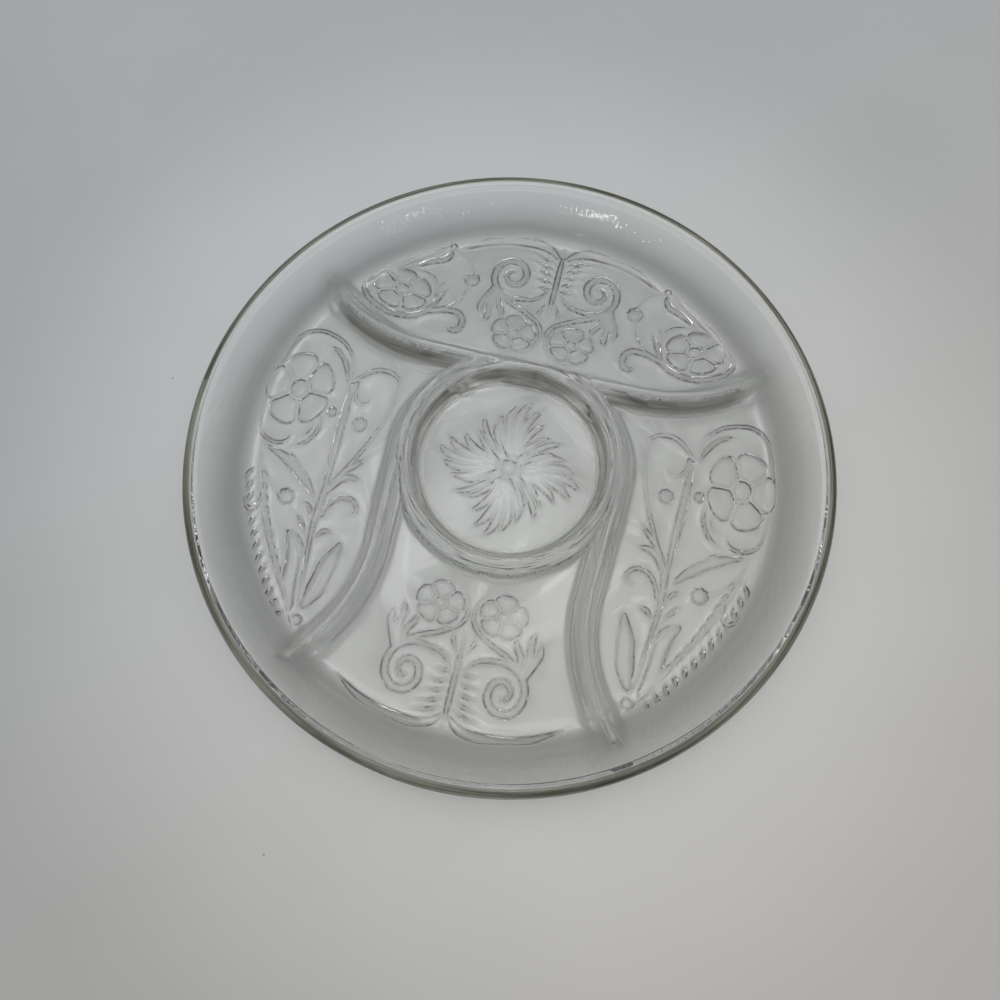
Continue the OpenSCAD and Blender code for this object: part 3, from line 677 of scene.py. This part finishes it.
# %% [markdown]
# Smooth curves through the points keep the pattern easy to edit. The curve's radius carries half
# the stroke's width.

# %% Curves
def swell(widths, t):
    """A stroke's width at a share of its length, through its three widths."""
    a, b, c = widths
    return a * (1 - t) * (1 - 2 * t) + b * 4 * t * (1 - t) + c * t * (2 * t - 1)


def turned(strokes, degrees):
    """The same strokes, turned about the origin."""
    cos, sin = math.cos(math.radians(degrees)), math.sin(math.radians(degrees))
    return [([[x * cos - y * sin, x * sin + y * cos] for x, y in points], widths)
            for points, widths in strokes]


def add_strokes(data, strokes, unit, signs):
    """Adds each stroke as a smooth spline whose radius is half its width, once per mirror sign."""
    for points, widths in strokes:
        for sx, sy in signs:
            spline = data.splines.new("BEZIER")
            spline.bezier_points.add(len(points) - 1)
            for k, (x, y) in enumerate(points):
                spot = spline.bezier_points[k]
                spot.co = (x * sx * unit * MM, y * sy * unit * MM, 0)
                spot.radius = swell(widths, k / (len(points) - 1)) * unit * MM / 2
                spot.handle_left_type = spot.handle_right_type = "AUTO"


def curves(name, *sets):
    """An object with the strokes of each set of strokes, unit and mirror signs."""
    data = bpy.data.curves.new(name, "CURVE")
    data.dimensions = "3D"
    for strokes, unit, signs in sets:
        add_strokes(data, strokes, unit, signs)
    return placed(name, data)


# %% [markdown]
# A stroke is a flat strip swept along its curve. Its height comes from the distance to the middle
# line: a smooth shoulder at the edge, a slight crown, and fine veins on broad strokes.

# %% Pressed strokes
STRIP_POINTS, STEEPNESS, LIGHTER = 17, 1.3, 0.65
VEIN_POWER, VEIN_DEPTH = 2.0, 0.3


def swept(tree, lines, step):
    """Sweeps a flat strip along curves. Gives it, the distance to its middle line, and half its width."""
    made = first(tree, "GeometryNodeResampleCurve", {"Curve": lines, "Length": step}, mode="LENGTH")
    length = node(tree, "GeometryNodeSplineParameter").outputs["Length"]
    whole = node(tree, "GeometryNodeSplineLength").outputs["Length"]
    made = keep_as(made, "half", first(tree, "GeometryNodeInputRadius"))
    made = keep_as(made, "end", maths("MINIMUM", length, minus(whole, length)))
    made = first(tree, "GeometryNodeSetCurveNormal", {"Curve": made}, mode="Z_UP")
    line = first(tree, "GeometryNodeCurvePrimitiveLine", {"Start": (-1, 0, 0), "End": (1, 0, 0)})
    line = first(tree, "GeometryNodeResampleCurve", {"Curve": line, "Count": STRIP_POINTS})
    line = keep_as(line, "across", position(tree)[0])
    half = named(tree, "half")
    sweep = {"Curve": made, "Profile Curve": line, "Scale": half}
    made = first(tree, "GeometryNodeCurveToMesh", sweep)
    over = maths("MAXIMUM", minus(half, named(tree, "end")), 0.0)
    return made, reach(product(named(tree, "across"), half), over), half


def sunk(tree, off, half, size):
    """Height of a stroke's back at a distance from its middle line."""
    edge = slope(minus(half, off), 0.0, size["Shoulder"])
    share = maths("DIVIDE", off, half)
    crown = product(share, share, size["Crown"])
    veins = maths("FLOOR", maths("DIVIDE", half, size["Vein"]))
    wave = maths("COSINE", product(veins, share, 2 * math.pi))
    groove = maths("POWER", maths("MAXIMUM", wave, 0.0), VEIN_POWER)
    full = minus(minus(1.0, crown), product(groove, VEIN_DEPTH))
    slim = maths("MINIMUM", size["Depth"], product(half, STEEPNESS))
    slim = product(slim, scaled(named(tree, "lighter"), -LIGHTER, 1.0))
    return plus(size["Floor"], product(full, edge, slim))


# %% [markdown]
# Each rose is a disc whose petals come from the angle round its middle, with seams between them,
# a boss in the middle and a fine hatch round it. A bead is a small toothed disc with a round back.

# %% Roses
PETALS, ROSE_POINTS, ROSE_STEEP = 5, 150, 0.07
ROSE_EDGE, NOTCH, NOTCH_POWER = 0.99, 0.2, 4.0
SEAM_WIDTH, SEAM_FROM, BOSS_R, BOSS_WIDTH, GROOVE = 0.055, (0.24, 0.34), 0.27, 0.05, -0.7
HATCHES, HATCH_R, HATCH_WIDTH, HATCH = 45.0, 0.42, 0.09, 0.10
CUP_R, CUP_WIDTH, CUP = 0.62, 0.22, -0.15
BEAD_POINTS, BEAD_STEEP, TEETH, TOOTH, BEAD_CROWN = 25, 0.25, 8.0, 0.09, 0.4
THINNEST = 0.05


def bump(value, width):
    """A smooth bump, 1 high where the value is 0."""
    share = maths("DIVIDE", value, width)
    return maths("EXPONENT", product(share, share, -1.0))


def rose_form(r, angle):
    """How far a place lies inside a rose's edge, and how deep its back is there."""
    turn = product(angle, PETALS / (2 * math.pi))
    part = minus(maths("FRACT", plus(turn, PETALS + 0.5)), 0.5)
    off = product(maths("ABSOLUTE", part), 2.0)
    edge = minus(minus(ROSE_EDGE, product(maths("POWER", off, NOTCH_POWER), NOTCH)), r)
    seam = product(minus(1.0, off), r, math.pi / PETALS)
    seam = product(bump(seam, SEAM_WIDTH), slope(r, *SEAM_FROM), GROOVE)
    boss = product(bump(minus(r, BOSS_R), BOSS_WIDTH), GROOVE)
    hatch = maths("SINE", product(angle, HATCHES))
    hatch = product(hatch, bump(minus(r, HATCH_R), HATCH_WIDTH), HATCH)
    cup = product(bump(minus(r, CUP_R), CUP_WIDTH), CUP)
    return edge, plus(seam, boss, hatch, cup, 1.0)


def bead_form(r, angle):
    """The same for a bead."""
    teeth = scaled(maths("COSINE", product(angle, TEETH)), TOOTH, 1.0 - TOOTH)
    return minus(teeth, r), minus(1.0, product(r, r, BEAD_CROWN))


def plate(tree, depth, count, form, steep):
    """A unit disc of one rose, or one bead, sunk by its form."""
    grid = {"Size X": 2.0, "Size Y": 2.0, "Vertices X": count, "Vertices Y": count}
    x, y, _ = position(tree)
    edge, back = form(reach(x, y), maths("ARCTAN2", y, x))
    deep = product(maths("MAXIMUM", back, THINNEST), slope(edge, 0.0, steep), depth)
    return moved(first(tree, "GeometryNodeMeshGrid", grid), deep)


# %% [markdown]
# Each rose and bead is one point that carries its radii, its turn and its kind. A copy of the right
# plate lands on each point, so a new rose is one more line in the table.

# %% Rose plates
def rose_spots():
    """A point for each rose and bead, with its radii, turn and kind."""
    spots = []
    for (x, y), (a, b), turn, mirrors in ROSES:
        for sx in (1, -1):
            for sy in ((1, -1) if mirrors == "XY" else (1,)):
                spots.append((x * sx, y * sy, a, b, math.radians(turn if sx * sy > 0 else 180 - turn), 1))
    for (x, y), r in BEADS:
        spots += [(x * sx, y, r, r, 0, 0) for sx in (1, -1)]
    hub = HUB_SHARE * WELL_R / PATTERN_R
    table = np.array(spots + [(0, 0, hub, hub, 0, 0)])
    mesh = bpy.data.meshes.new("rose spots")
    mesh.from_pydata([(x * PATTERN_R * MM, y * PATTERN_R * MM, 0) for x, y in table[:, :2]], [], [])
    radii = np.column_stack([table[:, 2:4] * PATTERN_R * MM, np.ones(len(table))])
    mesh.attributes.new("radii", "FLOAT_VECTOR", "POINT").data.foreach_set("vector", radii.ravel())
    mesh.attributes.new("turn", "FLOAT", "POINT").data.foreach_set("value", table[:, 4])
    mesh.attributes.new("kind", "INT", "POINT").data.foreach_set("value", table[:, 5].astype(int))
    return placed("rose spots", mesh)


def rose_plates(tree, size):
    """Every rose and bead, copied onto its spot and laid on the floor's underside."""
    whole = node(tree, "GeometryNodeGeometryToInstance")
    tree.links.new(plate(tree, size["Depth"], ROSE_POINTS, rose_form, ROSE_STEEP), whole.inputs[0])
    bead = plate(tree, size["Depth"], BEAD_POINTS, bead_form, BEAD_STEEP)
    turn = together(0.0, 0.0, named(tree, "turn"))
    radii, kind = named(tree, "radii", "FLOAT_VECTOR"), named(tree, "kind", "INT")
    out = []
    for value, item in ((1, whole.outputs[0]), (0, bead)):
        same = node(tree, "FunctionNodeCompare", {2: kind, 3: value}, data_type="INT", operation="EQUAL")
        chosen = {"Selection": same.outputs[0], "Scale": radii}
        out.append(repeated(taken(size["Rose"]), item, turn, **chosen))
    laid = {"Geometry": joined(*out), "Translation": (0, 0, FOOT_H * MM)}
    return first(tree, "GeometryNodeTransform", laid)


# %% [markdown]
# The mould is the pattern standing up, as a maker cuts it. Feather barbs are copied along their rib,
# and the leaves are turned round the well.

# %% Mould
MOULD_SIZES = {"Leaves": 4, "Barb count": 13, "Step": 0.6 * MM, "Shoulder": 1.0 * MM, "Crown": 0.35,
               "Vein": 1.3 * MM, "Depth": 1.9 * MM, "Floor": FOOT_H * MM}
BARB_LIGHTER, HUB_R = 0.1, 0.00001
PLAIN, BOTH, FOUR = [(1, 1)], [(1, 1), (-1, 1)], [(1, 1), (-1, 1), (1, -1), (-1, -1)]


def pattern_curves():
    """The curves and points that the mould is grown from, by the name of their input."""
    leaf = turned(LEAF, LEAF_TURN) + turned(LEAFLET, LEAF_TURN + LEAFLET_TURN)
    return {
        "Strokes": curves("strokes", (SCROLLS, PATTERN_R, FOUR), (STEM, PATTERN_R, [(1, 1), (1, -1)]),
                          (SPRAY, PATTERN_R, BOTH), (HEART, PATTERN_R, BOTH), (FROND_RIB, PATTERN_R, BOTH)),
        "Ribs": curves("ribs", (FROND_RIB, PATTERN_R, PLAIN)),
        "Barbs": curves("barbs", (BARBS, PATTERN_R, PLAIN)),
        "Leaf": curves("leaf", (leaf, WELL_R, PLAIN)),
        "Rose": rose_spots()}


def mould():
    """The pattern in relief, as one mesh."""
    shapes = pattern_curves()
    kinds = {name: "Int" if isinstance(value, int) else "Float" for name, value in MOULD_SIZES.items()}
    tree, size = grower("mould", {**dict.fromkeys(shapes, "Object"), **kinds})
    rib = {"Curve": taken(size["Ribs"]), "Count": size["Barb count"]}
    rib = first(tree, "GeometryNodeResampleCurve", rib)
    feather = repeated(rib, taken(size["Barbs"]), (0, 0, 0))
    feather = keep_as(feather, "lighter", BARB_LIGHTER)
    other = first(tree, "GeometryNodeTransform", {"Geometry": feather, "Scale": (-1, 1, 1)})
    hub = first(tree, "GeometryNodeMeshCircle", {"Vertices": size["Leaves"], "Radius": HUB_R})
    index = first(tree, "GeometryNodeInputIndex")
    angle = maths("DIVIDE", product(index, 2 * math.pi), size["Leaves"])
    whirl = repeated(hub, taken(size["Leaf"]), together(0.0, 0.0, angle))
    lines = joined(taken(size["Strokes"]), feather, other, whirl)
    made, off, half = swept(tree, lines, size["Step"])
    made = moved(made, sunk(tree, off, half, size))
    host = placed("mould", bpy.data.meshes.new("host"))
    host.data = grown(host, tree, joined(made, rose_plates(tree, size)), {**shapes, **MOULD_SIZES})
    for used in shapes.values():
        bpy.data.objects.remove(used)
    print("mould:", len(host.data.vertices), "points")
    return host


relief = mould()

# %% [markdown]
# The dividers and the ring are ridges: a round crest, steep flanks and a cove at the foot. A section
# is drawn once as arcs and then used at every distance from the crest line.

# %% Ridge sections
TOP_H, SIDE_H, RING_H, ARC_STEPS = 14.0, 13.8, 13.5, 6


def ridge(height, crest_r, flank, cove_r):
    """Half of a ridge's section from its middle out, as (distance, height), and its foot."""
    sin, cos = math.sin(math.radians(flank)), math.cos(math.radians(flank))
    both = crest_r + cove_r
    foot = both * sin + (height - both * (1 - cos)) / math.tan(math.radians(flank))
    crest = arc((0, height - crest_r), crest_r, 90, 90 - flank, ARC_STEPS)
    return crest + arc((foot, cove_r), cove_r, 270 - flank, 270, ARC_STEPS), foot


def section_curve(distance, section, height):
    """A float curve that turns a distance into the ridge's height there."""
    points, foot = section
    made = node(distance.id_data, "ShaderNodeFloatCurve", {1: maths("DIVIDE", distance, foot * MM)})
    line = made.mapping.curves[0]
    while len(line.points) < len(points):
        line.points.new(0.5, 0.5)
    for spot, (x, z) in zip(line.points, points):
        spot.location = (x / foot, z / height)
    made.mapping.update()
    return product(made.outputs[0], height * MM)


TOP_RIDGE = ridge(TOP_H, crest_r=2.6, flank=70.0, cove_r=6.0)
SIDE_RIDGE = ridge(SIDE_H, crest_r=2.5, flank=70.0, cove_r=5.5)
RING_INNER = ridge(RING_H, crest_r=2.4, flank=75.0, cove_r=2.0)
RING_OUTER = ridge(RING_H, crest_r=2.4, flank=70.0, cove_r=5.0)
print("foot of a divider", round(TOP_RIDGE[1], 1), "mm from its crest")

# %% [markdown]
# The top divider's crest runs straight above the ring and curls back at both ends. A side crest
# follows the ring, runs down and sweeps outwards. Each is drawn once and mirrored.

# %% Crests
TOP_RUN, TOP_HORN_R, SIDE_RUN, SIDE_HORN_R, SIDE_GAP, SIDE_LEAN = 58.0, 92.0, 55.0, 88.0, 5.5, 3.0
HORN_TURN, HORN_STEPS, RING_TURN, RING_STEPS = 80, 320, 65, 260
SIDE_R = RING_R + SIDE_GAP


def crest_points(runs, lean=0):
    """The points of one crest, turned by its lean, and of its mirror image."""
    points = np.array([p for run in runs for p in run])
    a = math.radians(-lean)
    points = points @ np.array([[math.cos(a), math.sin(a)], [-math.sin(a), math.cos(a)]])
    return np.vstack([points, points * [-1, 1]])


def crest_line(name, both):
    """A chain of edges along a crest and its mirror image."""
    count = len(both) // 2
    edges = [(start + k, start + k + 1) for start in (0, count) for k in range(count - 1)]
    mesh = bpy.data.meshes.new(name)
    mesh.from_pydata([(x * MM, y * MM, 0) for x, y in both], edges, [])
    return placed(name, mesh)


TOP_CREST = crest_points([
    [(x, RING_R) for x in range(int(TOP_RUN) + 1)],
    arc((TOP_RUN, RING_R + TOP_HORN_R), TOP_HORN_R, 270, 270 + HORN_TURN, HORN_STEPS)])
SIDE_CREST = crest_points([
    arc((0, 0), SIDE_R, RING_TURN, 0, RING_STEPS), [(SIDE_R, -y) for y in range(1, int(SIDE_RUN))],
    arc((SIDE_R + SIDE_HORN_R, -SIDE_RUN), SIDE_HORN_R, 180, 180 + HORN_TURN, HORN_STEPS)], SIDE_LEAN)
print("crests of", len(TOP_CREST), "and", len(SIDE_CREST), "points")

# %% [markdown]
# The lattice stays fine near the ridges and over the pattern. A coarse grid of cells remembers
# which places those are.

# %% Busy places
FINE = 0.5
CELLS, RIDGE_CELL, RIDGE_REACH, CARVED_CELL, CARVED_REACH, STANDING = 400, 2.0, 4, 1.8, 1, 0.02


def near(points, size, far):
    """A test of which places lie within some cells of some points."""
    cells = np.zeros((CELLS, CELLS), bool)

    def cell(values):
        return np.round(values / size).astype(int) + CELLS // 2

    i, j = cell(points[:, 0]), cell(points[:, 1])
    for di in range(-far, far + 1):
        for dj in range(-far, far + 1):
            cells[i + di, j + dj] = True
    return lambda x, y: cells[cell(x), cell(y)]


def carved_places(obj):
    """The places where the mould stands up."""
    points = np.empty(len(obj.data.vertices) * 3, np.float32)
    obj.data.vertices.foreach_get("co", points)
    points = points.reshape(-1, 3) / MM
    return near(points[points[:, 2] > FOOT_H + STANDING], CARVED_CELL, CARVED_REACH)


round_ring = ring(RING_R, 0, CELLS)[:, :2]
ridges = near(np.vstack([TOP_CREST, SIDE_CREST, round_ring]), RIDGE_CELL, RIDGE_REACH)
glass = blank(carved_places(relief), ridges, FINE)

# %% [markdown]
# The horns show long dark lenses of painted shade: one below each half of the top crest, and one on
# the tip of each side crest. Their places are kept on the points, where the glass reads them.

# %% Lens places
TOP_LENS, TOP_LENS_TO, TOP_FROM, TOP_TO = (0.0022, 0.0038), (0.0085, 0.0068), (0.034, 0.045), (0.128, 0.108)
TIP_LENS, TIP_FROM, TIP_TO, TIP_SHARE = (0.0028, 0.0014), (0.132, 0.143), (0.157, 0.153), 0.75


def lenses(x, y, r, gaps, crests):
    """How much of a painted dark lens each point is."""
    aside = maths("ABSOLUTE", x)
    top = product(slope(gaps[0], *TOP_LENS), slope(gaps[0], *TOP_LENS_TO),
                  slope(aside, *TOP_FROM), slope(aside, *TOP_TO), maths("LESS_THAN", y, crests[0]))
    tips = product(slope(gaps[1], *TIP_LENS), slope(r, *TIP_FROM), TIP_SHARE,
                   slope(r, *TIP_TO))
    return maths("MAXIMUM", top, tips)


# %% [markdown]
# The plunger presses the top. At every point it takes the height of the floor, of each divider and of
# the ring, and merges them so that the horns run softly into the wall.

# %% Plunger
SOFTENING, MERGE, HORN_FADE, HORN_LOWER = 3.2, 10.0, (0.138, 0.155), 0.25
SOFT_FROM, SOFT_TO = (0.132, 0.142), (0.156, 0.153)


def ring_heights(r, middle):
    """Heights of the ring's inner and outer halves, from the distance to its middle line."""
    heights = []
    for section, one, other in ((RING_INNER, middle, r), (RING_OUTER, r, middle)):
        gap = minus(one, other)
        height = section_curve(maths("MAXIMUM", gap, 0.0), section, RING_H)
        heights.append(product(height, maths("GREATER_THAN", gap, 0.0)))
    return heights


def merged(heights, sharpness):
    """The greatest of several heights, with soft joins: a root of the sum of their powers."""
    total = 0.0
    for height in heights:
        total = plus(total, maths("POWER", maths("MAXIMUM", height, 0.0), sharpness))
    return maths("POWER", total, maths("DIVIDE", 1.0, sharpness))


def pressed_top(obj):
    """Presses the floor, the wall and the ridges into the top of the blank."""
    lines = {"Top": crest_line("top crest", TOP_CREST), "Side": crest_line("side crest", SIDE_CREST)}
    sizes = {"Ring": RING_R * MM, "Floor": FLOOR_TOP * MM, "Merge": MERGE}
    tree, size = grower("plunger", {**dict.fromkeys(lines, "Object"), **dict.fromkeys(sizes, "Float"),
                                    "Softening": "Int"})
    x, y, z = position(tree)
    flat, r = together(x, y), reach(x, y)
    fade = scaled(slope(r, *HORN_FADE), -HORN_LOWER, 1.0)
    heights, gaps, crests = [minus(z, size["Floor"])], [], []
    for label, section, height in (("Top", TOP_RIDGE, TOP_H), ("Side", SIDE_RIDGE, SIDE_H)):
        inputs = {0: taken(size[label]), "Sample Position": flat}
        found = node(tree, "GeometryNodeProximity", inputs, target_element="EDGES").outputs
        gaps.append(found["Distance"])
        crests.append(apart(found["Position"])[1])
        heights.append(product(section_curve(found["Distance"], section, height), fade))
    high = merged(heights + ring_heights(r, size["Ring"]), size["Merge"])
    weight = product(slope(r, *SOFT_FROM), slope(r, *SOFT_TO))
    soft = {"Value": high, "Iterations": size["Softening"], "Weight": weight}
    high = plus(first(tree, "GeometryNodeBlurAttribute", soft), size["Floor"])
    made = keep_as(size["Geometry"], "ridge", maths("MINIMUM", *gaps))
    made = keep_as(made, "lens", lenses(x, y, r, gaps, crests))
    done = moved(made, high, maths("GREATER_THAN", named(tree, "side"), 0.5))
    obj.data = grown(obj, tree, done, {**lines, **sizes, "Softening": round((SOFTENING / FINE) ** 2)})
    for used in lines.values():
        bpy.data.objects.remove(used)
    print("pressed top:", len(obj.data.vertices), "points")


pressed_top(glass)

# %% [markdown]
# The mould then presses the underside. A ray from each point to the mould finds how deep the
# pattern is there, and a light blur rounds the edges as fire-polishing does.

# %% Mould press
RAY_FROM, RAY_LENGTH, LIGHT_BLUR = 0.02, 1.0, 1


def pressed_under(obj, shape):
    """Sinks the mould into the underside of the blank."""
    tree, size = grower("press", {"Mould": "Object", "Floor": "Float", "Softening": "Int"})
    x, y, z = position(tree)
    ray = {"Target Geometry": taken(size["Mould"]), "Source Position": together(x, y, RAY_FROM),
           "Ray Direction": (0, 0, -1), "Ray Length": RAY_LENGTH}
    ray = node(tree, "GeometryNodeRaycast", ray).outputs
    deep = maths("MAXIMUM", minus(apart(ray["Hit Position"])[2], size["Floor"]), 0.0)
    hit = {"Switch": ray["Is Hit"], "False": 0.0, "True": deep}
    deep = first(tree, "GeometryNodeSwitch", hit, input_type="FLOAT")
    blur = {"Value": deep, "Iterations": size["Softening"]}
    soft = first(tree, "GeometryNodeBlurAttribute", blur)
    chosen = maths("LESS_THAN", named(tree, "side"), -0.5)
    done = moved(size["Geometry"], plus(z, soft), chosen)
    obj.data = grown(obj, tree, done, {"Mould": shape, "Floor": FOOT_H * MM, "Softening": LIGHT_BLUR})
    bpy.data.objects.remove(shape)
    print("pressed underside:", len(obj.data.vertices), "points")


pressed_under(glass, relief)

# %% [markdown]
# A flat place needs few triangles. Thinning them keeps the piece light, and normals taken from the
# full mesh keep the reflections smooth.

# %% Thinned mesh
TRIANGLES, TOP_TRIANGLES, TOP_FREE_R, LOW_FREE_R, NEAREST = 196000, 40000, 153, 141, 3


def read(items, name, width, kind=np.float32):
    """An attribute of a mesh's items as an array."""
    out = np.empty(len(items) * width, kind)
    items.foreach_get(name, out)
    return out.reshape(-1, width) if width > 1 else out


def thin_top_and_under(obj, full, spots):
    """Adds a thinning of the flat places of the top, and then of the underside."""
    corners = read(full.loop_triangles, "vertices", 3, np.int32).ravel()
    side = read(full.attributes["side"].data, "value", 1)
    far = np.hypot(spots[:, 0], spots[:, 1]) / MM
    left = len(full.loop_triangles)
    for sign, free_r, name in ((1, TOP_FREE_R, "raised"), (-1, LOW_FREE_R, "carved")):
        free = (side == sign) & (far < free_r)
        group = obj.vertex_groups.new(name=name)
        group.add(np.flatnonzero(free).tolist(), 1.0, "REPLACE")
        goal = TRIANGLES if sign < 0 else left - int(free[corners].sum() / 3) + TOP_TRIANGLES
        modifier = obj.modifiers.new(name, "DECIMATE")
        modifier.ratio = min(1.0, goal / left)
        modifier.use_collapse_triangulate = True
        modifier.vertex_group = name
        left = goal


def thinned(obj):
    """Fewer triangles where the glass is flat, with the shading of the full mesh."""
    full = obj.data
    full.name = "full glass"
    full.calc_loop_triangles()
    spots, ways = read(full.vertices, "co", 3), read(full.vertex_normals, "vector", 3)
    tree = KDTree(len(spots))
    for k, p in enumerate(spots.tolist()):
        tree.insert(p, k)
    tree.balance()
    triangles = len(full.loop_triangles)
    thin_top_and_under(obj, full, spots)
    mesh = baked(obj)
    normals = []
    for vertex in mesh.vertices:
        found = tree.find_n(vertex.co, NEAREST)
        way = sum((Vector(ways[k]) / (d + TINY) for _, k, d in found), Vector())
        normals.append(way.normalized())
    mesh.polygons.foreach_set("use_smooth", [True] * len(mesh.polygons))
    mesh.normals_split_custom_set_from_vertices(normals)
    obj.data = mesh
    obj.vertex_groups.clear()
    bpy.data.meshes.remove(full)
    print("glass:", triangles, "triangles thinned to", len(mesh.polygons))


thinned(glass)

# %% [markdown]
# The finished shell is one piece of glass that stands for all the CAD nodes, which stay for collision.

# %% Rides
glass.name = "relish_tray"
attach(glass, "root")
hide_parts(*NODES)
print(glass.name, "rides on root")

# %% [markdown]
# A soft ceiling lamp gives the faint shadow. Two small strips far off give the short bright streaks
# on the far wall, as lamps in a kitchen do.

# %% Lamps
LAMPS = {
    "ceiling lamp": ((-0.6, 0.5, 1.6), (0.5, 0.5), 0.5, (0, 0, 0)),
    "left strip lamp": ((0.70, -0.76, 0.208), (0.085, 0.013), 0.07, (-0.088, 0.124, 0.02)),
    "right strip lamp": ((-0.243, -1.003, 0.212), (0.15, 0.019), 0.17, (0.019, 0.151, 0.02))}


def lamp(name, place, size, watts, aim):
    """A rectangular lamp at a place, turned to its aim."""
    data = bpy.data.lights.new(name, "AREA")
    data.shape = "RECTANGLE"
    data.size, data.size_y = size
    data.energy = watts
    made = placed(name, data)
    made.location = place
    made.rotation_euler = (Vector(aim) - Vector(place)).to_track_quat("-Z", "Y").to_euler()


for name, settings in LAMPS.items():
    lamp(name, *settings)
bpy.context.scene.view_settings.view_transform = "Standard"
print("lamps:", ", ".join(LAMPS))
